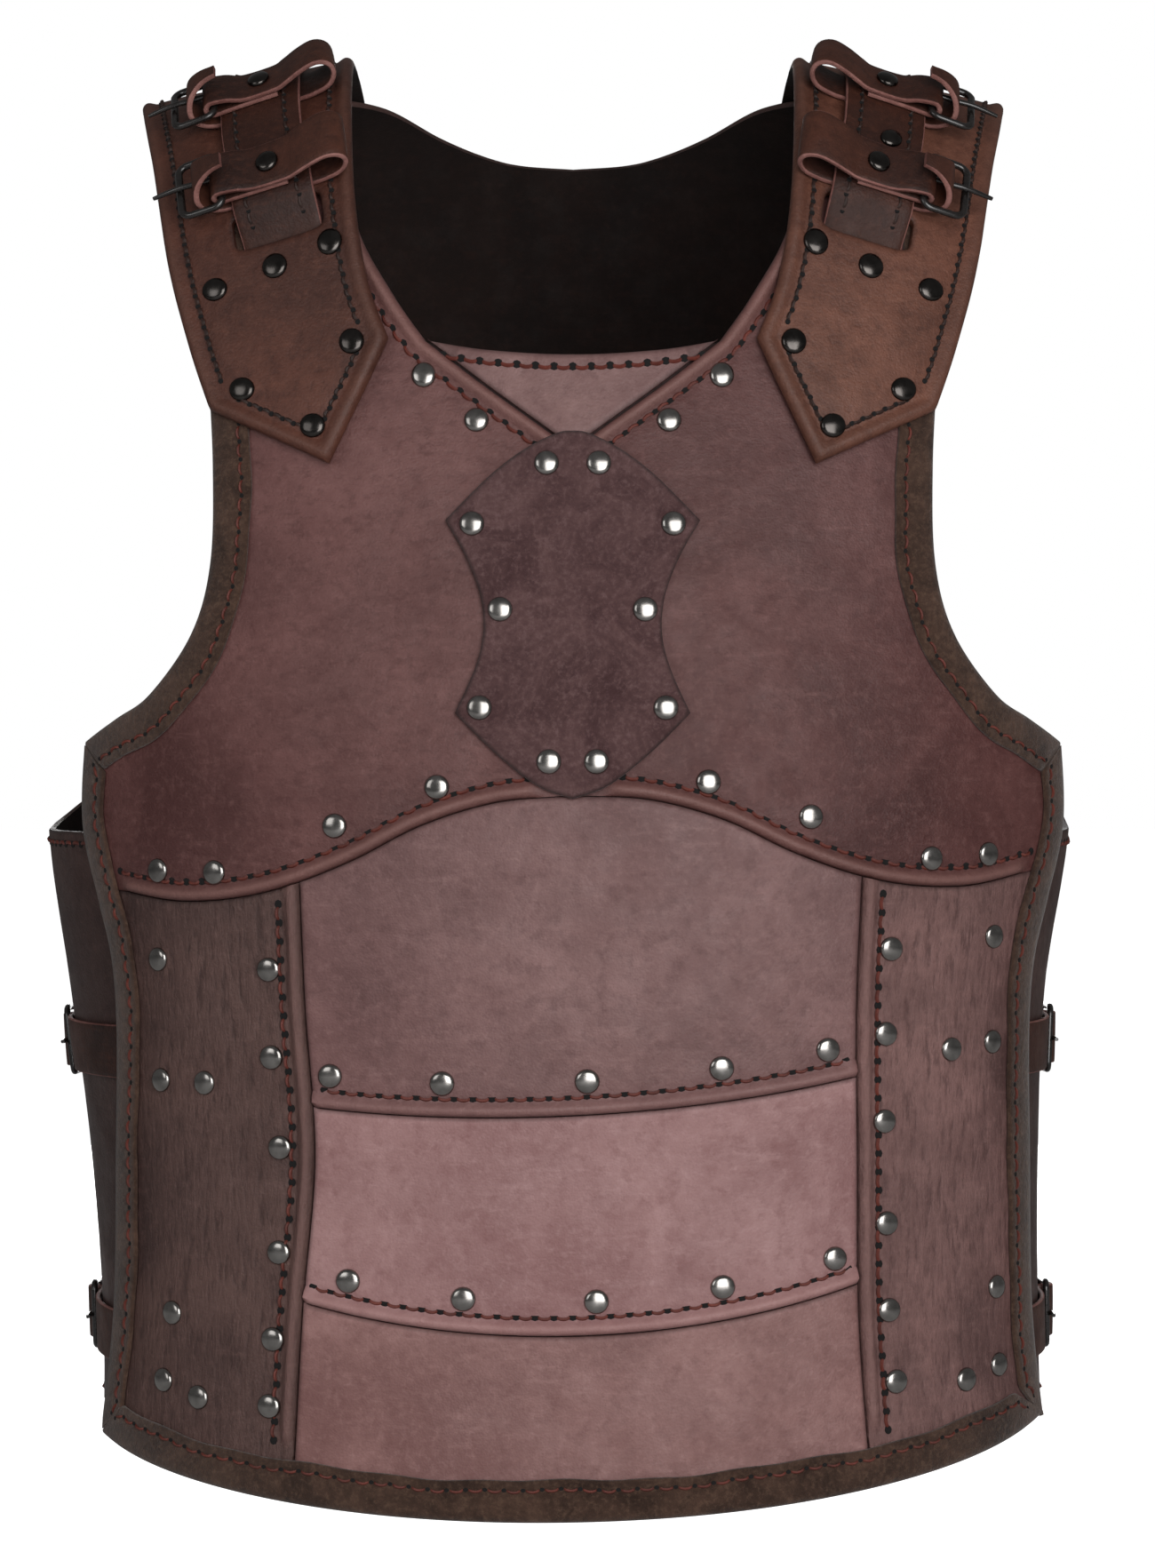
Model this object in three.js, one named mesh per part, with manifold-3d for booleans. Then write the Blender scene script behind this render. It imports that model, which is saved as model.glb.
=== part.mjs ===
// A leather breastplate, worn over the shoulders and buckled at the sides, in millimetres.
// +Z is up, the front faces -Y, and +X is the wearer's left.
// The origin lies level with the tops of the shoulders, on the body's middle line.
import * as THREE from 'three';
import { mergeVertices } from 'three/addons/utils/BufferGeometryUtils.js';
import Module from 'manifold-3d';

const wasm = await Module();
wasm.setup();

// ---------------------------------------------------------------- sizes of the leather
const LEATHER = 2.0;            // backing hide
const PANEL = 2.2;              // hide of the panels laid on the backing
const BACK_LEATHER = 3.0;       // hide of the single-layer back
const PLATE_LEATHER = 3.0;      // hide of the shoulder plates
const BINDING = 1.6;            // suede strip folded over the edges
const BINDING_WIDTH = 14;
const MEDALLION_LEATHER = 2.2;
const STRAP = 2.1;              // shoulder strap
const STRAP_WIDTH = 31;
const BELT = 2.0;               // small cross belts
const BELT_WIDTH = 19;
const CLOSURE_WIDTH = 22;       // side straps
const SIDE_FRAME_WIDTH = 27;
const PLY_GAP = 0.45;           // air left between two layers
const SEAM = 0.3;               // air left between two butted edges
const ROLL = 2.0;               // how far a rolled edge stands above its panel
const ROLL_WIDTH = 7;
const RIVET_RADIUS = 4.8;
const RIVET_HEIGHT = 2.1;

const PANEL_AT = LEATHER + PLY_GAP;
const PANEL_TOP = PANEL_AT + PANEL;
const OVER_PANEL = PANEL_TOP + PLY_GAP;
const PLATE_FRONT = OVER_PANEL + STRAP + 0.7;   // the strap's lower end lies between chest and plate
const PLATE_BACK = BACK_LEATHER + 2.4 * PLY_GAP;

// ---------------------------------------------------------------- the body it is shaped to
// down: run of the leather from the shoulder ridge; z: level; front, back: lie of the middle line;
// mid: line that parts front from back; half: half the front's breadth; sideY, flapLeft and flapRight:
// the same two for the back, whose side flaps stand out round the hips and tuck in under the front.
const SECTIONS = [
  // down     z    front   back   mid  half  sideY flapLeft flapRight
  [0, 0, 12, 12, 12, 205, 12, 205, 205],
  [20, -1.7, -8, 32, 11, 205, 11, 205, 205],
  [40, -7, -27, 51, 10, 205, 10, 205, 205],
  [60, -16, -45, 69, 8, 205, 8, 205, 205],
  [80, -28.5, -60.5, 84, 6, 205, 6, 205, 205],
  [105, -48, -77, 97, 4, 205, 4, 205, 205],
  [130, -69.5, -89.5, 105.5, 2, 205, 3, 205, 205],
  [160, -98, -99.5, 111.5, 0, 205, 5, 206, 205],
  [200, -136.8, -109.5, 117.5, 0, 205, 10, 208, 205],
  [250, -186, -118.5, 121, 0, 205, 22, 213, 206],
  [300, -235.6, -125, 120, 0, 205, 29, 217, 207],
  [365, -300.5, -130, 114, 0, 204.5, 32, 218, 206],
  [430, -365.5, -130, 108, 0, 194, 32, 209, 196],
  [500, -435.4, -127, 106, 0, 192, 32, 200, 193],
  [570, -505, -127.5, 111, 0, 192.5, 32, 195, 193],
  [640, -575, -131, 117, 0, 197.5, 32, 195, 195],
];
const [, Z, FRONT, BACK, MID, HALF, SIDE_Y, FLAP_LEFT, FLAP_RIGHT] = SECTIONS[0].keys();
const ROUNDNESS = 2.3;          // exponent of the sections' oval
const FLAP_REACH = 141;         // how far forward of sideY the flaps' oval would reach
const SHOULDER_FALL = 0.216;    // slope of the shoulders towards the arms
const SHOULDER_MIDDLE = 134;    // where the shoulder is level with the origin
const FALL_ENDS = -135;         // the slope has died out at this level
const FALL_FULL = -20;

// Smooth curve through a table's rows: every column becomes a function of the first one.
function curveThrough(rows) {
  const last = rows.length - 1;
  const slope = rows.map((row, i) => row.map((value, c) => {
    const before = rows[Math.max(i - 1, 0)];
    const after = rows[Math.min(i + 1, last)];
    const gapBefore = row[0] - before[0];
    const gapAfter = after[0] - row[0];
    if (i === 0) return (after[c] - value) / gapAfter;
    if (i === last) return (value - before[c]) / gapBefore;
    const rise = (value - before[c]) / gapBefore * gapAfter + (after[c] - value) / gapAfter * gapBefore;
    return rise / (gapBefore + gapAfter);
  }));
  return (where) => {
    const x = Math.min(Math.max(where, rows[0][0]), rows[last][0]);
    let i = 0;
    while (i < last - 1 && rows[i + 1][0] <= x) i += 1;
    const gap = rows[i + 1][0] - rows[i][0];
    const t = (x - rows[i][0]) / gap;
    const easeIn = 2 * t ** 3 - 3 * t ** 2 + 1;
    return rows[i].map((value, c) => easeIn * value + (1 - easeIn) * rows[i + 1][c]
      + (t ** 3 - 2 * t ** 2 + t) * gap * slope[i][c] + (t ** 3 - t ** 2) * gap * slope[i + 1][c]);
  };
}

const sectionAt = curveThrough(SECTIONS);
const ease = (t) => {
  const u = Math.min(Math.max(t, 0), 1);
  return u * u * (3 - 2 * u);
};
const slopeDown = (x, z) => SHOULDER_FALL * (Math.abs(x) - SHOULDER_MIDDLE)
  * ease((z - FALL_ENDS) / (FALL_FULL - FALL_ENDS));

// A quarter-by-quarter oval: angle 0 is its middle, 90 degrees its side.
function ovalPoint(half, mid, reach, angle) {
  const sin = Math.sin(angle);
  const cos = Math.cos(angle);
  const x = half * Math.sign(sin) * Math.abs(sin) ** (2 / ROUNDNESS);
  return [x, mid + reach(cos) * Math.abs(cos) ** (2 / ROUNDNESS)];
}

const RING_STEPS = 192;
function ringTable(pointAt, lastAngle) {
  const points = [];
  const runs = [0];
  for (let i = 0; i <= RING_STEPS; i += 1) {
    points.push(pointAt(i / RING_STEPS * lastAngle));
    if (i) {
      const [before, here] = points.slice(i - 1, i + 1);
      runs.push(runs[i - 1] + Math.hypot(here[0] - before[0], here[1] - before[1]));
    }
  }
  return { runs, points, lastAngle, pointAt };
}

function angleAtRun(table, run) {
  let i = 1;
  while (i < RING_STEPS && table.runs[i] < run) i += 1;
  const part = (run - table.runs[i - 1]) / (table.runs[i] - table.runs[i - 1]);
  return (i - 1 + part) / RING_STEPS * table.lastAngle;
}

// The run at which a ring passes a given y, counted from its middle.
function runAtY(table, y) {
  const toward = Math.sign(table.points[RING_STEPS][1] - table.points[0][1]);
  let i = 1;
  while (i < RING_STEPS && (table.points[i][1] - y) * toward < 0) i += 1;
  const part = (y - table.points[i - 1][1]) / (table.points[i][1] - table.points[i - 1][1]);
  return table.runs[i - 1] + part * (table.runs[i] - table.runs[i - 1]);
}

const ringCache = new Map();
function cached(key, make) {
  if (!ringCache.has(key)) ringCache.set(key, make());
  return ringCache.get(key);
}
const frontRing = (down) => cached(`front ${down.toFixed(2)}`, () => {
  const row = sectionAt(down);
  const reach = (cos) => (cos > 0 ? row[FRONT] : row[BACK]) - row[MID];
  return ringTable((angle) => ovalPoint(row[HALF], row[MID], reach, angle), Math.PI * 0.62);
});
const backRing = (down, side) => cached(`back ${side} ${down.toFixed(2)}`, () => {
  const row = sectionAt(down);
  const half = side < 0 ? row[FLAP_LEFT] : row[FLAP_RIGHT];
  const reach = (cos) => (cos > 0 ? row[BACK] - row[SIDE_Y] : -FLAP_REACH);
  return ringTable((angle) => ovalPoint(half, row[SIDE_Y], reach, angle), Math.PI * 0.82);
});

function onRing(table, run, down) {
  const [x, y] = table.pointAt(angleAtRun(table, Math.abs(run)));
  const z = sectionAt(down)[Z];
  return new THREE.Vector3(x * Math.sign(run), y, z - slopeDown(x, z));
}

// Three ways to name a place on the body. All take (across, down) and turn outwards by their sign.
const front = { at: (run, down) => onRing(frontRing(down), run, down), outward: 1 };
const back = { at: (run, down) => onRing(backRing(down, Math.sign(run)), run, down), outward: -1 };
const shoulder = {             // across is x; down counts forward of the ridge, and is negative behind it
  at: (x, down) => {
    const row = sectionAt(Math.abs(down));
    const fullness = Math.max(0, 1 - Math.abs(x / row[HALF]) ** ROUNDNESS) ** (1 / ROUNDNESS);
    const y = row[MID] + ((down < 0 ? row[BACK] : row[FRONT]) - row[MID]) * fullness;
    return new THREE.Vector3(x, y, row[Z] - slopeDown(x, row[Z]));
  },
  outward: 1,
};

const PROBE = 0.5;
function lifted(surface, across, down, height) {
  const alongAcross = surface.at(across + PROBE, down).sub(surface.at(across - PROBE, down));
  const alongDown = surface.at(across, down + PROBE).sub(surface.at(across, down - PROBE));
  const normal = alongDown.cross(alongAcross).normalize();
  return surface.at(across, down).addScaledVector(normal, height * surface.outward);
}

// ---------------------------------------------------------------- making closed bodies
function closedBody(vertices, triangles) {
  let volume = 0;
  for (const [a, b, c] of triangles) {
    volume += vertices[a].dot(new THREE.Vector3().crossVectors(vertices[b], vertices[c]));
  }
  const geometry = new THREE.BufferGeometry();
  const positions = vertices.flatMap((v) => v.toArray());
  geometry.setAttribute('position', new THREE.Float32BufferAttribute(positions, 3));
  geometry.setIndex(triangles.flatMap(([a, b, c]) => (volume > 0 ? [a, b, c] : [a, c, b])));
  return geometry;
}

// A body through like sections, from the first to the last, or round in a ring.
function sweep(sections, capTriangles, ring = false) {
  const size = sections[0].length;
  const triangles = [];
  const spans = ring ? sections.length : sections.length - 1;
  for (let i = 0; i < spans; i += 1) {
    const here = i * size;
    const next = ((i + 1) % sections.length) * size;
    for (let j = 0; j < size; j += 1) {
      const k = (j + 1) % size;
      triangles.push([here + j, here + k, next + k], [here + j, next + k, next + j]);
    }
  }
  const end = (sections.length - 1) * size;
  if (!ring) {
    capTriangles.forEach(([a, b, c]) => triangles.push([a, c, b], [end + a, end + b, end + c]));
  }
  return closedBody(sections.flat(), triangles);
}

function capOf(contour) {
  const points = contour.map(([a, b]) => new THREE.Vector2(a, b));
  return THREE.ShapeUtils.triangulateShape(points, []).map((corners) => corners.sort((a, b) => a - b));
}

// The outline of a band of even thickness along a path, both given as [along, height].
function bandContour(path, thickness) {
  const side = (turn) => path.map(([a, h], i) => {
    const before = path[Math.max(i - 1, 0)];
    const after = path[Math.min(i + 1, path.length - 1)];
    const in1 = new THREE.Vector2(a - before[0], h - before[1]);
    const out1 = new THREE.Vector2(after[0] - a, after[1] - h);
    const inward = (in1.length() ? in1 : out1).clone().normalize();
    const onward = (out1.length() ? out1 : in1).clone().normalize();
    const middle = inward.clone().add(onward).normalize();
    const reach = thickness / 2 / Math.max(middle.dot(inward), 0.6);
    return [a - middle.y * reach * turn, h + middle.x * reach * turn];
  });
  return [...side(1), ...side(-1).reverse()];
}

// The end face of a band: a row of quads between its two sides.
function bandCap(count) {
  const faces = [];
  for (let i = 0; i < count - 1; i += 1) {
    const far = 2 * count - 1 - i;
    faces.push([i, i + 1, far - 1], [i, far - 1, far]);
  }
  return faces;
}

// A path with its long straight stretches divided.
const finer = (path, step) => path.flatMap(([a, h], i) => {
  if (i === path.length - 1) return [[a, h]];
  const [nextA, nextH] = path[i + 1];
  const spans = Math.max(1, Math.ceil(Math.hypot(nextA - a, nextH - h) / step));
  return Array.from({ length: spans }, (_, k) => {
    const share = k / spans;
    return [a + (nextA - a) * share, h + (nextH - h) * share];
  });
});

// A strap: a band of leather along a path, spread to its width by place(along, across, height).
function strap(path, thickness, width, place, stations = 2) {
  const contour = bandContour(path, thickness);
  const sections = [];
  for (let i = 0; i <= stations; i += 1) {
    const across = (i / stations - 0.5) * width;
    sections.push(contour.map(([along, height]) => place(along, across, height)));
  }
  return sweep(sections, bandCap(path.length));
}

// ---------------------------------------------------------------- flat patterns and their panels
const resample = (points, step) => {
  const curve = new THREE.SplineCurve(points.map(([a, b]) => new THREE.Vector2(a, b)));
  const spans = Math.max(1, Math.round(curve.getLength() / step));
  return curve.getSpacedPoints(spans).map((p) => [p.x, p.y]);
};
const straight = ([a1, b1], [a2, b2], step) => {
  const spans = Math.max(1, Math.round(Math.hypot(a2 - a1, b2 - b1) / step));
  return Array.from({ length: spans + 1 }, (_, i) => {
    const share = i / spans;
    return [a1 + (a2 - a1) * share, b1 + (b2 - b1) * share];
  });
};
const mirrored = (points) => points.map(([a, b]) => [-a, b]);
// Runs joined end to end into one closed outline, without the doubled ends.
const outlineOf = (...runs) => runs.flatMap((run) => run.slice(0, -1));

function distanceTo(point, start, end) {
  const [px, py] = [end[0] - start[0], end[1] - start[1]];
  const part = ((point[0] - start[0]) * px + (point[1] - start[1]) * py) / (px * px + py * py || 1);
  const t = Math.min(Math.max(part, 0), 1);
  return Math.hypot(point[0] - start[0] - t * px, point[1] - start[1] - t * py);
}
function nearest(point, loop, closed = true) {
  let best = Infinity;
  for (let i = 0; i < loop.length - (closed ? 0 : 1); i += 1) {
    best = Math.min(best, distanceTo(point, loop[i], loop[(i + 1) % loop.length]));
  }
  return best;
}
function isInside([x, y], loop) {
  let inside = false;
  for (let i = 0, j = loop.length - 1; i < loop.length; j = i, i += 1) {
    const [xi, yi] = loop[i];
    const [xj, yj] = loop[j];
    if ((yi > y) !== (yj > y) && x < (xj - xi) * (y - yi) / (yj - yi) + xi) inside = !inside;
  }
  return inside;
}

// Delaunay triangles of flat points. The slight shear cuts all square cells along the same diagonal.
const SHEAR = 0.003;
function delaunay(points) {
  const flat = points.map(([a, b]) => [a + SHEAR * b, b + SHEAR * SHEAR * a]);
  const size = points.length;
  flat.push([-1e5, -1e5], [1e5, -1e5], [0, 1e5]);
  const withCircle = (a, b, c) => {
    const [[ax, ay], [bx, by], [cx, cy]] = [flat[a], flat[b], flat[c]];
    const d = 2 * (ax * (by - cy) + bx * (cy - ay) + cx * (ay - by));
    const [a2, b2, c2] = [ax * ax + ay * ay, bx * bx + by * by, cx * cx + cy * cy];
    const x = (a2 * (by - cy) + b2 * (cy - ay) + c2 * (ay - by)) / d;
    const y = (a2 * (cx - bx) + b2 * (ax - cx) + c2 * (bx - ax)) / d;
    return { corners: d > 0 ? [a, b, c] : [a, c, b], x, y, r2: (ax - x) ** 2 + (ay - y) ** 2 };
  };
  let triangles = [withCircle(size, size + 1, size + 2)];
  for (let i = 0; i < size; i += 1) {
    const [x, y] = flat[i];
    const edges = new Map();
    const kept = [];
    for (const triangle of triangles) {
      if ((x - triangle.x) ** 2 + (y - triangle.y) ** 2 < triangle.r2) {
        const [a, b, c] = triangle.corners;
        for (const [from, to] of [[a, b], [b, c], [c, a]]) {
          if (edges.has(`${to} ${from}`)) edges.delete(`${to} ${from}`);
          else edges.set(`${from} ${to}`, [from, to]);
        }
      } else {
        kept.push(triangle);
      }
    }
    triangles = kept;
    for (const [from, to] of edges.values()) triangles.push(withCircle(from, to, i));
  }
  return triangles.map((t) => t.corners).filter((corners) => corners.every((corner) => corner < size));
}

// Points set in from a run of the outline, for the foot of its rolled edge.
function setIn(run, loop, inset) {
  const kept = [];
  run.forEach(([a, b], i) => {
    const before = run[Math.max(i - 1, 0)];
    const after = run[Math.min(i + 1, run.length - 1)];
    const length = Math.hypot(after[0] - before[0], after[1] - before[1]);
    for (const turn of [1, -1]) {
      const aside = [(before[1] - after[1]) / length * turn, (after[0] - before[0]) / length * turn];
      const point = [a + aside[0] * inset, b + aside[1] * inset];
      if (isInside(point, loop) && nearest(point, loop) > inset * 0.8) kept.push(point);
    }
  });
  return kept;
}

const GRID_ACROSS = [0, 28, 55, 80, 102, 121, 138, 154, 169, 184, 198];
const GRID_DOWN = [42, 64, 86, 108, 130, 152, 175, 199, 225, 253, 283, 315, 349, 404, 440, 480,
  520, 575];
const bothSides = (values) => [...values.filter((v) => v > 0).map((v) => -v).reverse(), ...values];
const FRONT_GRID = { across: bothSides(GRID_ACROSS), down: GRID_DOWN, clear: 7 };

// A panel of leather: a flat outline laid on a surface, from height low to height high.
// rolls are the runs of its outline that are turned over and stand up; fade(a, b) thins them out.
function panel(surface, outline, low, high, options = {}) {
  const { grid = FRONT_GRID, rolls = [], holes = [], roll = ROLL, fade = () => 1 } = options;
  const points = [...outline, ...holes.flat()];
  const rims = rolls.flatMap((run) => setIn(run, outline, ROLL_WIDTH));
  points.push(...rims);
  for (const a of grid.across) {
    for (const b of grid.down) {
      const place = [a, b];
      const clearOf = (loop) => nearest(place, loop) > grid.clear;
      if (!isInside(place, outline) || !clearOf(outline)) continue;
      if (holes.some((hole) => isInside(place, hole) || !clearOf(hole))) continue;
      if (rims.some((rim) => Math.hypot(rim[0] - a, rim[1] - b) < grid.clear * 0.8)) continue;
      points.push(place);
    }
  }
  const faces = delaunay(points).filter((corners) => {
    const middle = [0, 1].map((c) => corners.reduce((sum, corner) => sum + points[corner][c], 0) / 3);
    return isInside(middle, outline) && !holes.some((hole) => isInside(middle, hole));
  });
  const standing = (a, b) => {
    const off = Math.min(...rolls.map((run) => nearest([a, b], run, false)));
    return rolls.length ? roll * Math.max(0, 1 - off / ROLL_WIDTH) * fade(a, b) : 0;
  };
  const heightOf = (height, a, b) => (typeof height === 'function' ? height(a, b) : height);
  const vertices = [
    ...points.map(([a, b]) => lifted(surface, a, b, heightOf(low, a, b))),
    ...points.map(([a, b]) => lifted(surface, a, b, heightOf(high, a, b) + standing(a, b))),
  ];
  const size = points.length;
  const triangles = [];
  const rim = new Map();
  for (const [a, b, c] of faces) {
    triangles.push([a, c, b], [a + size, b + size, c + size]);
    for (const [from, to] of [[a, b], [b, c], [c, a]]) {
      if (rim.has(`${to} ${from}`)) rim.delete(`${to} ${from}`);
      else rim.set(`${from} ${to}`, [from, to]);
    }
  }
  for (const [from, to] of rim.values()) {
    triangles.push([from, to, to + size], [from, to + size, from + size]);
  }
  if (rim.size !== outline.length + holes.flat().length) {
    const expected = outline.length + holes.flat().length;
    throw new Error(`a panel's edge has ${rim.size} spans and its outline ${expected}`);
  }
  return closedBody(vertices, triangles);
}

// ---------------------------------------------------------------- joining and cutting
function toSolid(geometry) {
  const bare = geometry.clone();
  bare.deleteAttribute('normal');
  bare.deleteAttribute('uv');
  const merged = mergeVertices(bare, 1e-4);
  return new wasm.Manifold(new wasm.Mesh({
    numProp: 3,
    vertProperties: Float32Array.from(merged.attributes.position.array),
    triVerts: Uint32Array.from(merged.index.array),
  }));
}
function fromSolid(solid) {
  const mesh = solid.getMesh();
  const geometry = new THREE.BufferGeometry();
  geometry.setAttribute('position', new THREE.BufferAttribute(Float32Array.from(mesh.vertProperties), 3));
  geometry.setIndex(Array.from(mesh.triVerts));
  return geometry;
}
const joined = (body, additions) => fromSolid(
  additions.reduce((sum, part) => sum.add(toSolid(part)), toSolid(body)),
);
const cutBy = (body, tools) => fromSolid(
  tools.reduce((rest, tool) => rest.subtract(toSolid(tool)), toSolid(body)),
);

// A domed rivet head, its flat side at the given height; foot says how far its shank goes on below.
const RIVET_SIDES = 6;
function rivet(place, height, { radius = RIVET_RADIUS, foot = 0.8 } = {}) {
  const rings = [[1, -foot], [0.72, RIVET_HEIGHT]];
  const sections = rings.map(([share, rise]) => Array.from({ length: RIVET_SIDES }, (_, i) => {
    const turn = (i + 0.5) / RIVET_SIDES * 2 * Math.PI;
    return place(Math.cos(turn) * radius * share, Math.sin(turn) * radius * share, height + rise);
  }));
  const cap = Array.from({ length: RIVET_SIDES - 2 }, (_, i) => [0, i + 1, i + 2]);
  return sweep(sections, cap);
}
const rivetOn = (surface, [across, down], height, options) => rivet(
  (a, b, h) => lifted(surface, across + a, down + b, h), height, options);

// ---------------------------------------------------------------- the group and its finishes
const group = new THREE.Group();
const finishes = {
  panel: { color: '#6a4e4c', roughness: 0.55 },
  plate: { color: '#5f423c', roughness: 0.5 },
  suede: { color: '#3f2e27', roughness: 0.95 },
  back: { color: '#392a28', roughness: 0.7 },
  strap: { color: '#3c2a26', roughness: 0.6 },
  wire: { color: '#15120f', roughness: 0.35, metalness: 0.7 },
  rivet: { color: '#8b8683', roughness: 0.3, metalness: 1 },
};
function add(name, geometry, finish) {
  const mesh = new THREE.Mesh(geometry, new THREE.MeshStandardMaterial(finishes[finish]));
  mesh.name = name;
  group.add(mesh);
}
const SIDES = [['left', -1], ['right', 1]];      // as seen from the front

// ---------------------------------------------------------------- the front's pattern
// All outlines are [run round the body from the middle, run down from the shoulder ridge].
const SHOULDER_END = 24;                          // the front's pieces stop here, under the plates
const ARMPIT = [210, 331];
const ARMHOLE = [[150, SHOULDER_END], [146, 90], [143, 170], [140, 222], [141, 262], [150, 290], [170, 313],
  [189, 322.5], ARMPIT];
const SIDE_EDGE = [ARMPIT, [213, 362], [204, 392], [197, 424], [198, 495], [200, 556], [208, 602]];
const NECK_EDGE = [[96, SHOULDER_END], [93, 92], [84.5, 131], [70, 157], [57, 174.5]];
const BIB_TOP = [[57, 174.5], [33, 178.5], [0, 180.5], [-33, 178.5], [-57, 174.5]];
const V_FOOT = [6, 212.5];                        // where the two chest edges run in under the medallion
const LEAN = 0.019;                               // the lower edges rise a little to the wearer's left

const ARCH = [[0, 351], [30, 353.3], [58, 361.5], [85, 374.5], [118, 385.5], [155, 389], [190, 384.5],
  [215, 381]];
const archRows = curveThrough(ARCH);
const arch = (a) => archRows(Math.abs(a))[1] - LEAN * a;
const bellyEnd = (a) => 474 - 0.0007 * (a + 35) ** 2;
const midEnd = (a) => 558.3 - 0.00125 * (a + 10) ** 2;
const hem = (a) => 627 - 0.00056 * a ** 2 - LEAN * a;
const sideRows = curveThrough([
  // down  left  right
  [380, -106, 112.5], [430, -104, 110.5], [490, -100, 111], [550, -105, 111.5], [625, -109, 117]]);
const sideStart = (down, side) => sideRows(down)[side < 0 ? 1 : 2];

const alongArmhole = resample(ARMHOLE, 15);
const alongSide = resample(SIDE_EDGE, 18);
const alongNeck = resample(NECK_EDGE, 13);
const alongBib = resample(BIB_TOP, 14);
const alongV = straight([57, 174.5], V_FOOT, 11);
const sideCorner = (edge, side) => {              // where a lower edge meets a side panel
  let a = side * 107;
  for (let i = 0; i < 8; i += 1) a = sideStart(edge(a), side);
  return a;
};
const MEDALLION_FOOT = 17;                        // the lower roll starts beyond this run
const EDGE_COLUMNS = [...FRONT_GRID.across, -MEDALLION_FOOT, MEDALLION_FOOT].sort((a, b) => a - b);
const columnsBetween = (from, to) => EDGE_COLUMNS.filter((a) => a > from + 4 && a < to - 4);
const edgeBetween = (edge, from, to, shift = 0) => [from, ...columnsBetween(from, to), to]
  .map((a) => [a, edge(a) + shift]);
const rowsBetween = (from, to) => FRONT_GRID.down.filter((b) => b > from + 5 && b < to - 5);

// The side edge cut where a lower edge meets it, for one side of the body.
function sideCut(edge, side) {
  const run = alongSide.map(([a, b]) => [a * side, b]);
  const at = run.findIndex(([a, b]) => b > edge(a));
  const [before, after] = [run[at - 1], run[at]];
  const over = (p) => p[1] - edge(p[0]);
  const t = over(before) / (over(before) - over(after));
  const point = [before[0] + (after[0] - before[0]) * t, before[1] + (after[1] - before[1]) * t];
  return { at, point, run };
}
const sideTo = (edge, side) => {
  const cut = sideCut(edge, side);
  return [...cut.run.slice(0, cut.at), cut.point];
};
const sideFrom = (edge, side) => {
  const cut = sideCut(edge, side);
  return [cut.point, ...cut.run.slice(cut.at)];
};
const shifted = (run, a, b) => run.map(([x, y]) => [x + a, y + b]);
const reversed = (run) => [...run].reverse();

const hemRun = () => {
  const [right] = alongSide.slice(-1);
  return edgeBetween(hem, -right[0], right[0]);
};
const sideWhole = (side) => {
  const run = alongSide.map(([a, b]) => [a * side, b]);
  run[run.length - 1] = [run[run.length - 1][0], hem(run[run.length - 1][0])];
  return run;
};

// Backing: the foundation that carries every panel, from hem to shoulders.
const backing = outlineOf(
  straight([-96, SHOULDER_END], [-150, SHOULDER_END], 18),
  mirrored(alongArmhole), sideWhole(-1), hemRun(), reversed(sideWhole(1)), reversed(alongArmhole),
  straight([150, SHOULDER_END], [96, SHOULDER_END], 18),
  alongNeck, alongBib, reversed(mirrored(alongNeck)),
);
add('front_backing', panel(front, backing, 0, LEATHER), 'panel');

// Bib: fills the V between the chest's two upper edges.
const bibTop = [[-56.1, 174.65], ...reversed(alongBib).slice(1, -1), [56.1, 174.65]];
const bibV = [[56.1, 174.65], ...shifted(alongV, -0.9, -0.5).slice(1)];
const bibFoot = [bibV[bibV.length - 1], mirrored(bibV).pop()];
const bib = outlineOf(bibTop, bibV, bibFoot, reversed(mirrored(bibV)));
add('bib', panel(front, bib, PANEL_AT, PANEL_TOP), 'panel');

// Chest: one piece from the shoulders to the arched lower edge, both edges rolled.
// The rolls die out under the medallion and under the side bindings.
const chestRollFade = (a) => ease((Math.abs(a) - 18) / 9) * ease((186 - Math.abs(a)) / 14);
const archColumns = columnsBetween(-203, 203).map((a) => [a, arch(a)]);
const archWhole = [sideCut(arch, -1).point, ...archColumns, sideCut(arch, 1).point];
const neckAndV = [...alongNeck.slice(0, -1), ...alongV];
const chest = outlineOf(
  straight([-96, SHOULDER_END], [-150, SHOULDER_END], 18),
  mirrored(alongArmhole), sideTo(arch, -1), archWhole, reversed(sideTo(arch, 1)), reversed(alongArmhole),
  straight([150, SHOULDER_END], [96, SHOULDER_END], 18),
  neckAndV, [V_FOOT, [-V_FOOT[0], V_FOOT[1]]], reversed(mirrored(neckAndV)),
);
const CHEST_RIVETS = [[168, 377], [141, 378], [91, 361], [51.5, 347]];
const V_RIVETS = [[57.5, 187.5], [37, 205.5]];
add('chest', joined(
  panel(front, chest, PANEL_AT, PANEL_TOP, {
    rolls: [neckAndV, mirrored(neckAndV), archWhole.slice(1, -1)], fade: chestRollFade,
  }),
  SIDES.flatMap(([, side]) => [
    ...CHEST_RIVETS.map(([a, b]) => [a * side, b - LEAN * a * side]),
    ...V_RIVETS.map(([a, b]) => [a * side, b]),
  ]).map((place) => rivetOn(front, place, PANEL_TOP)),
), 'panel');

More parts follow.
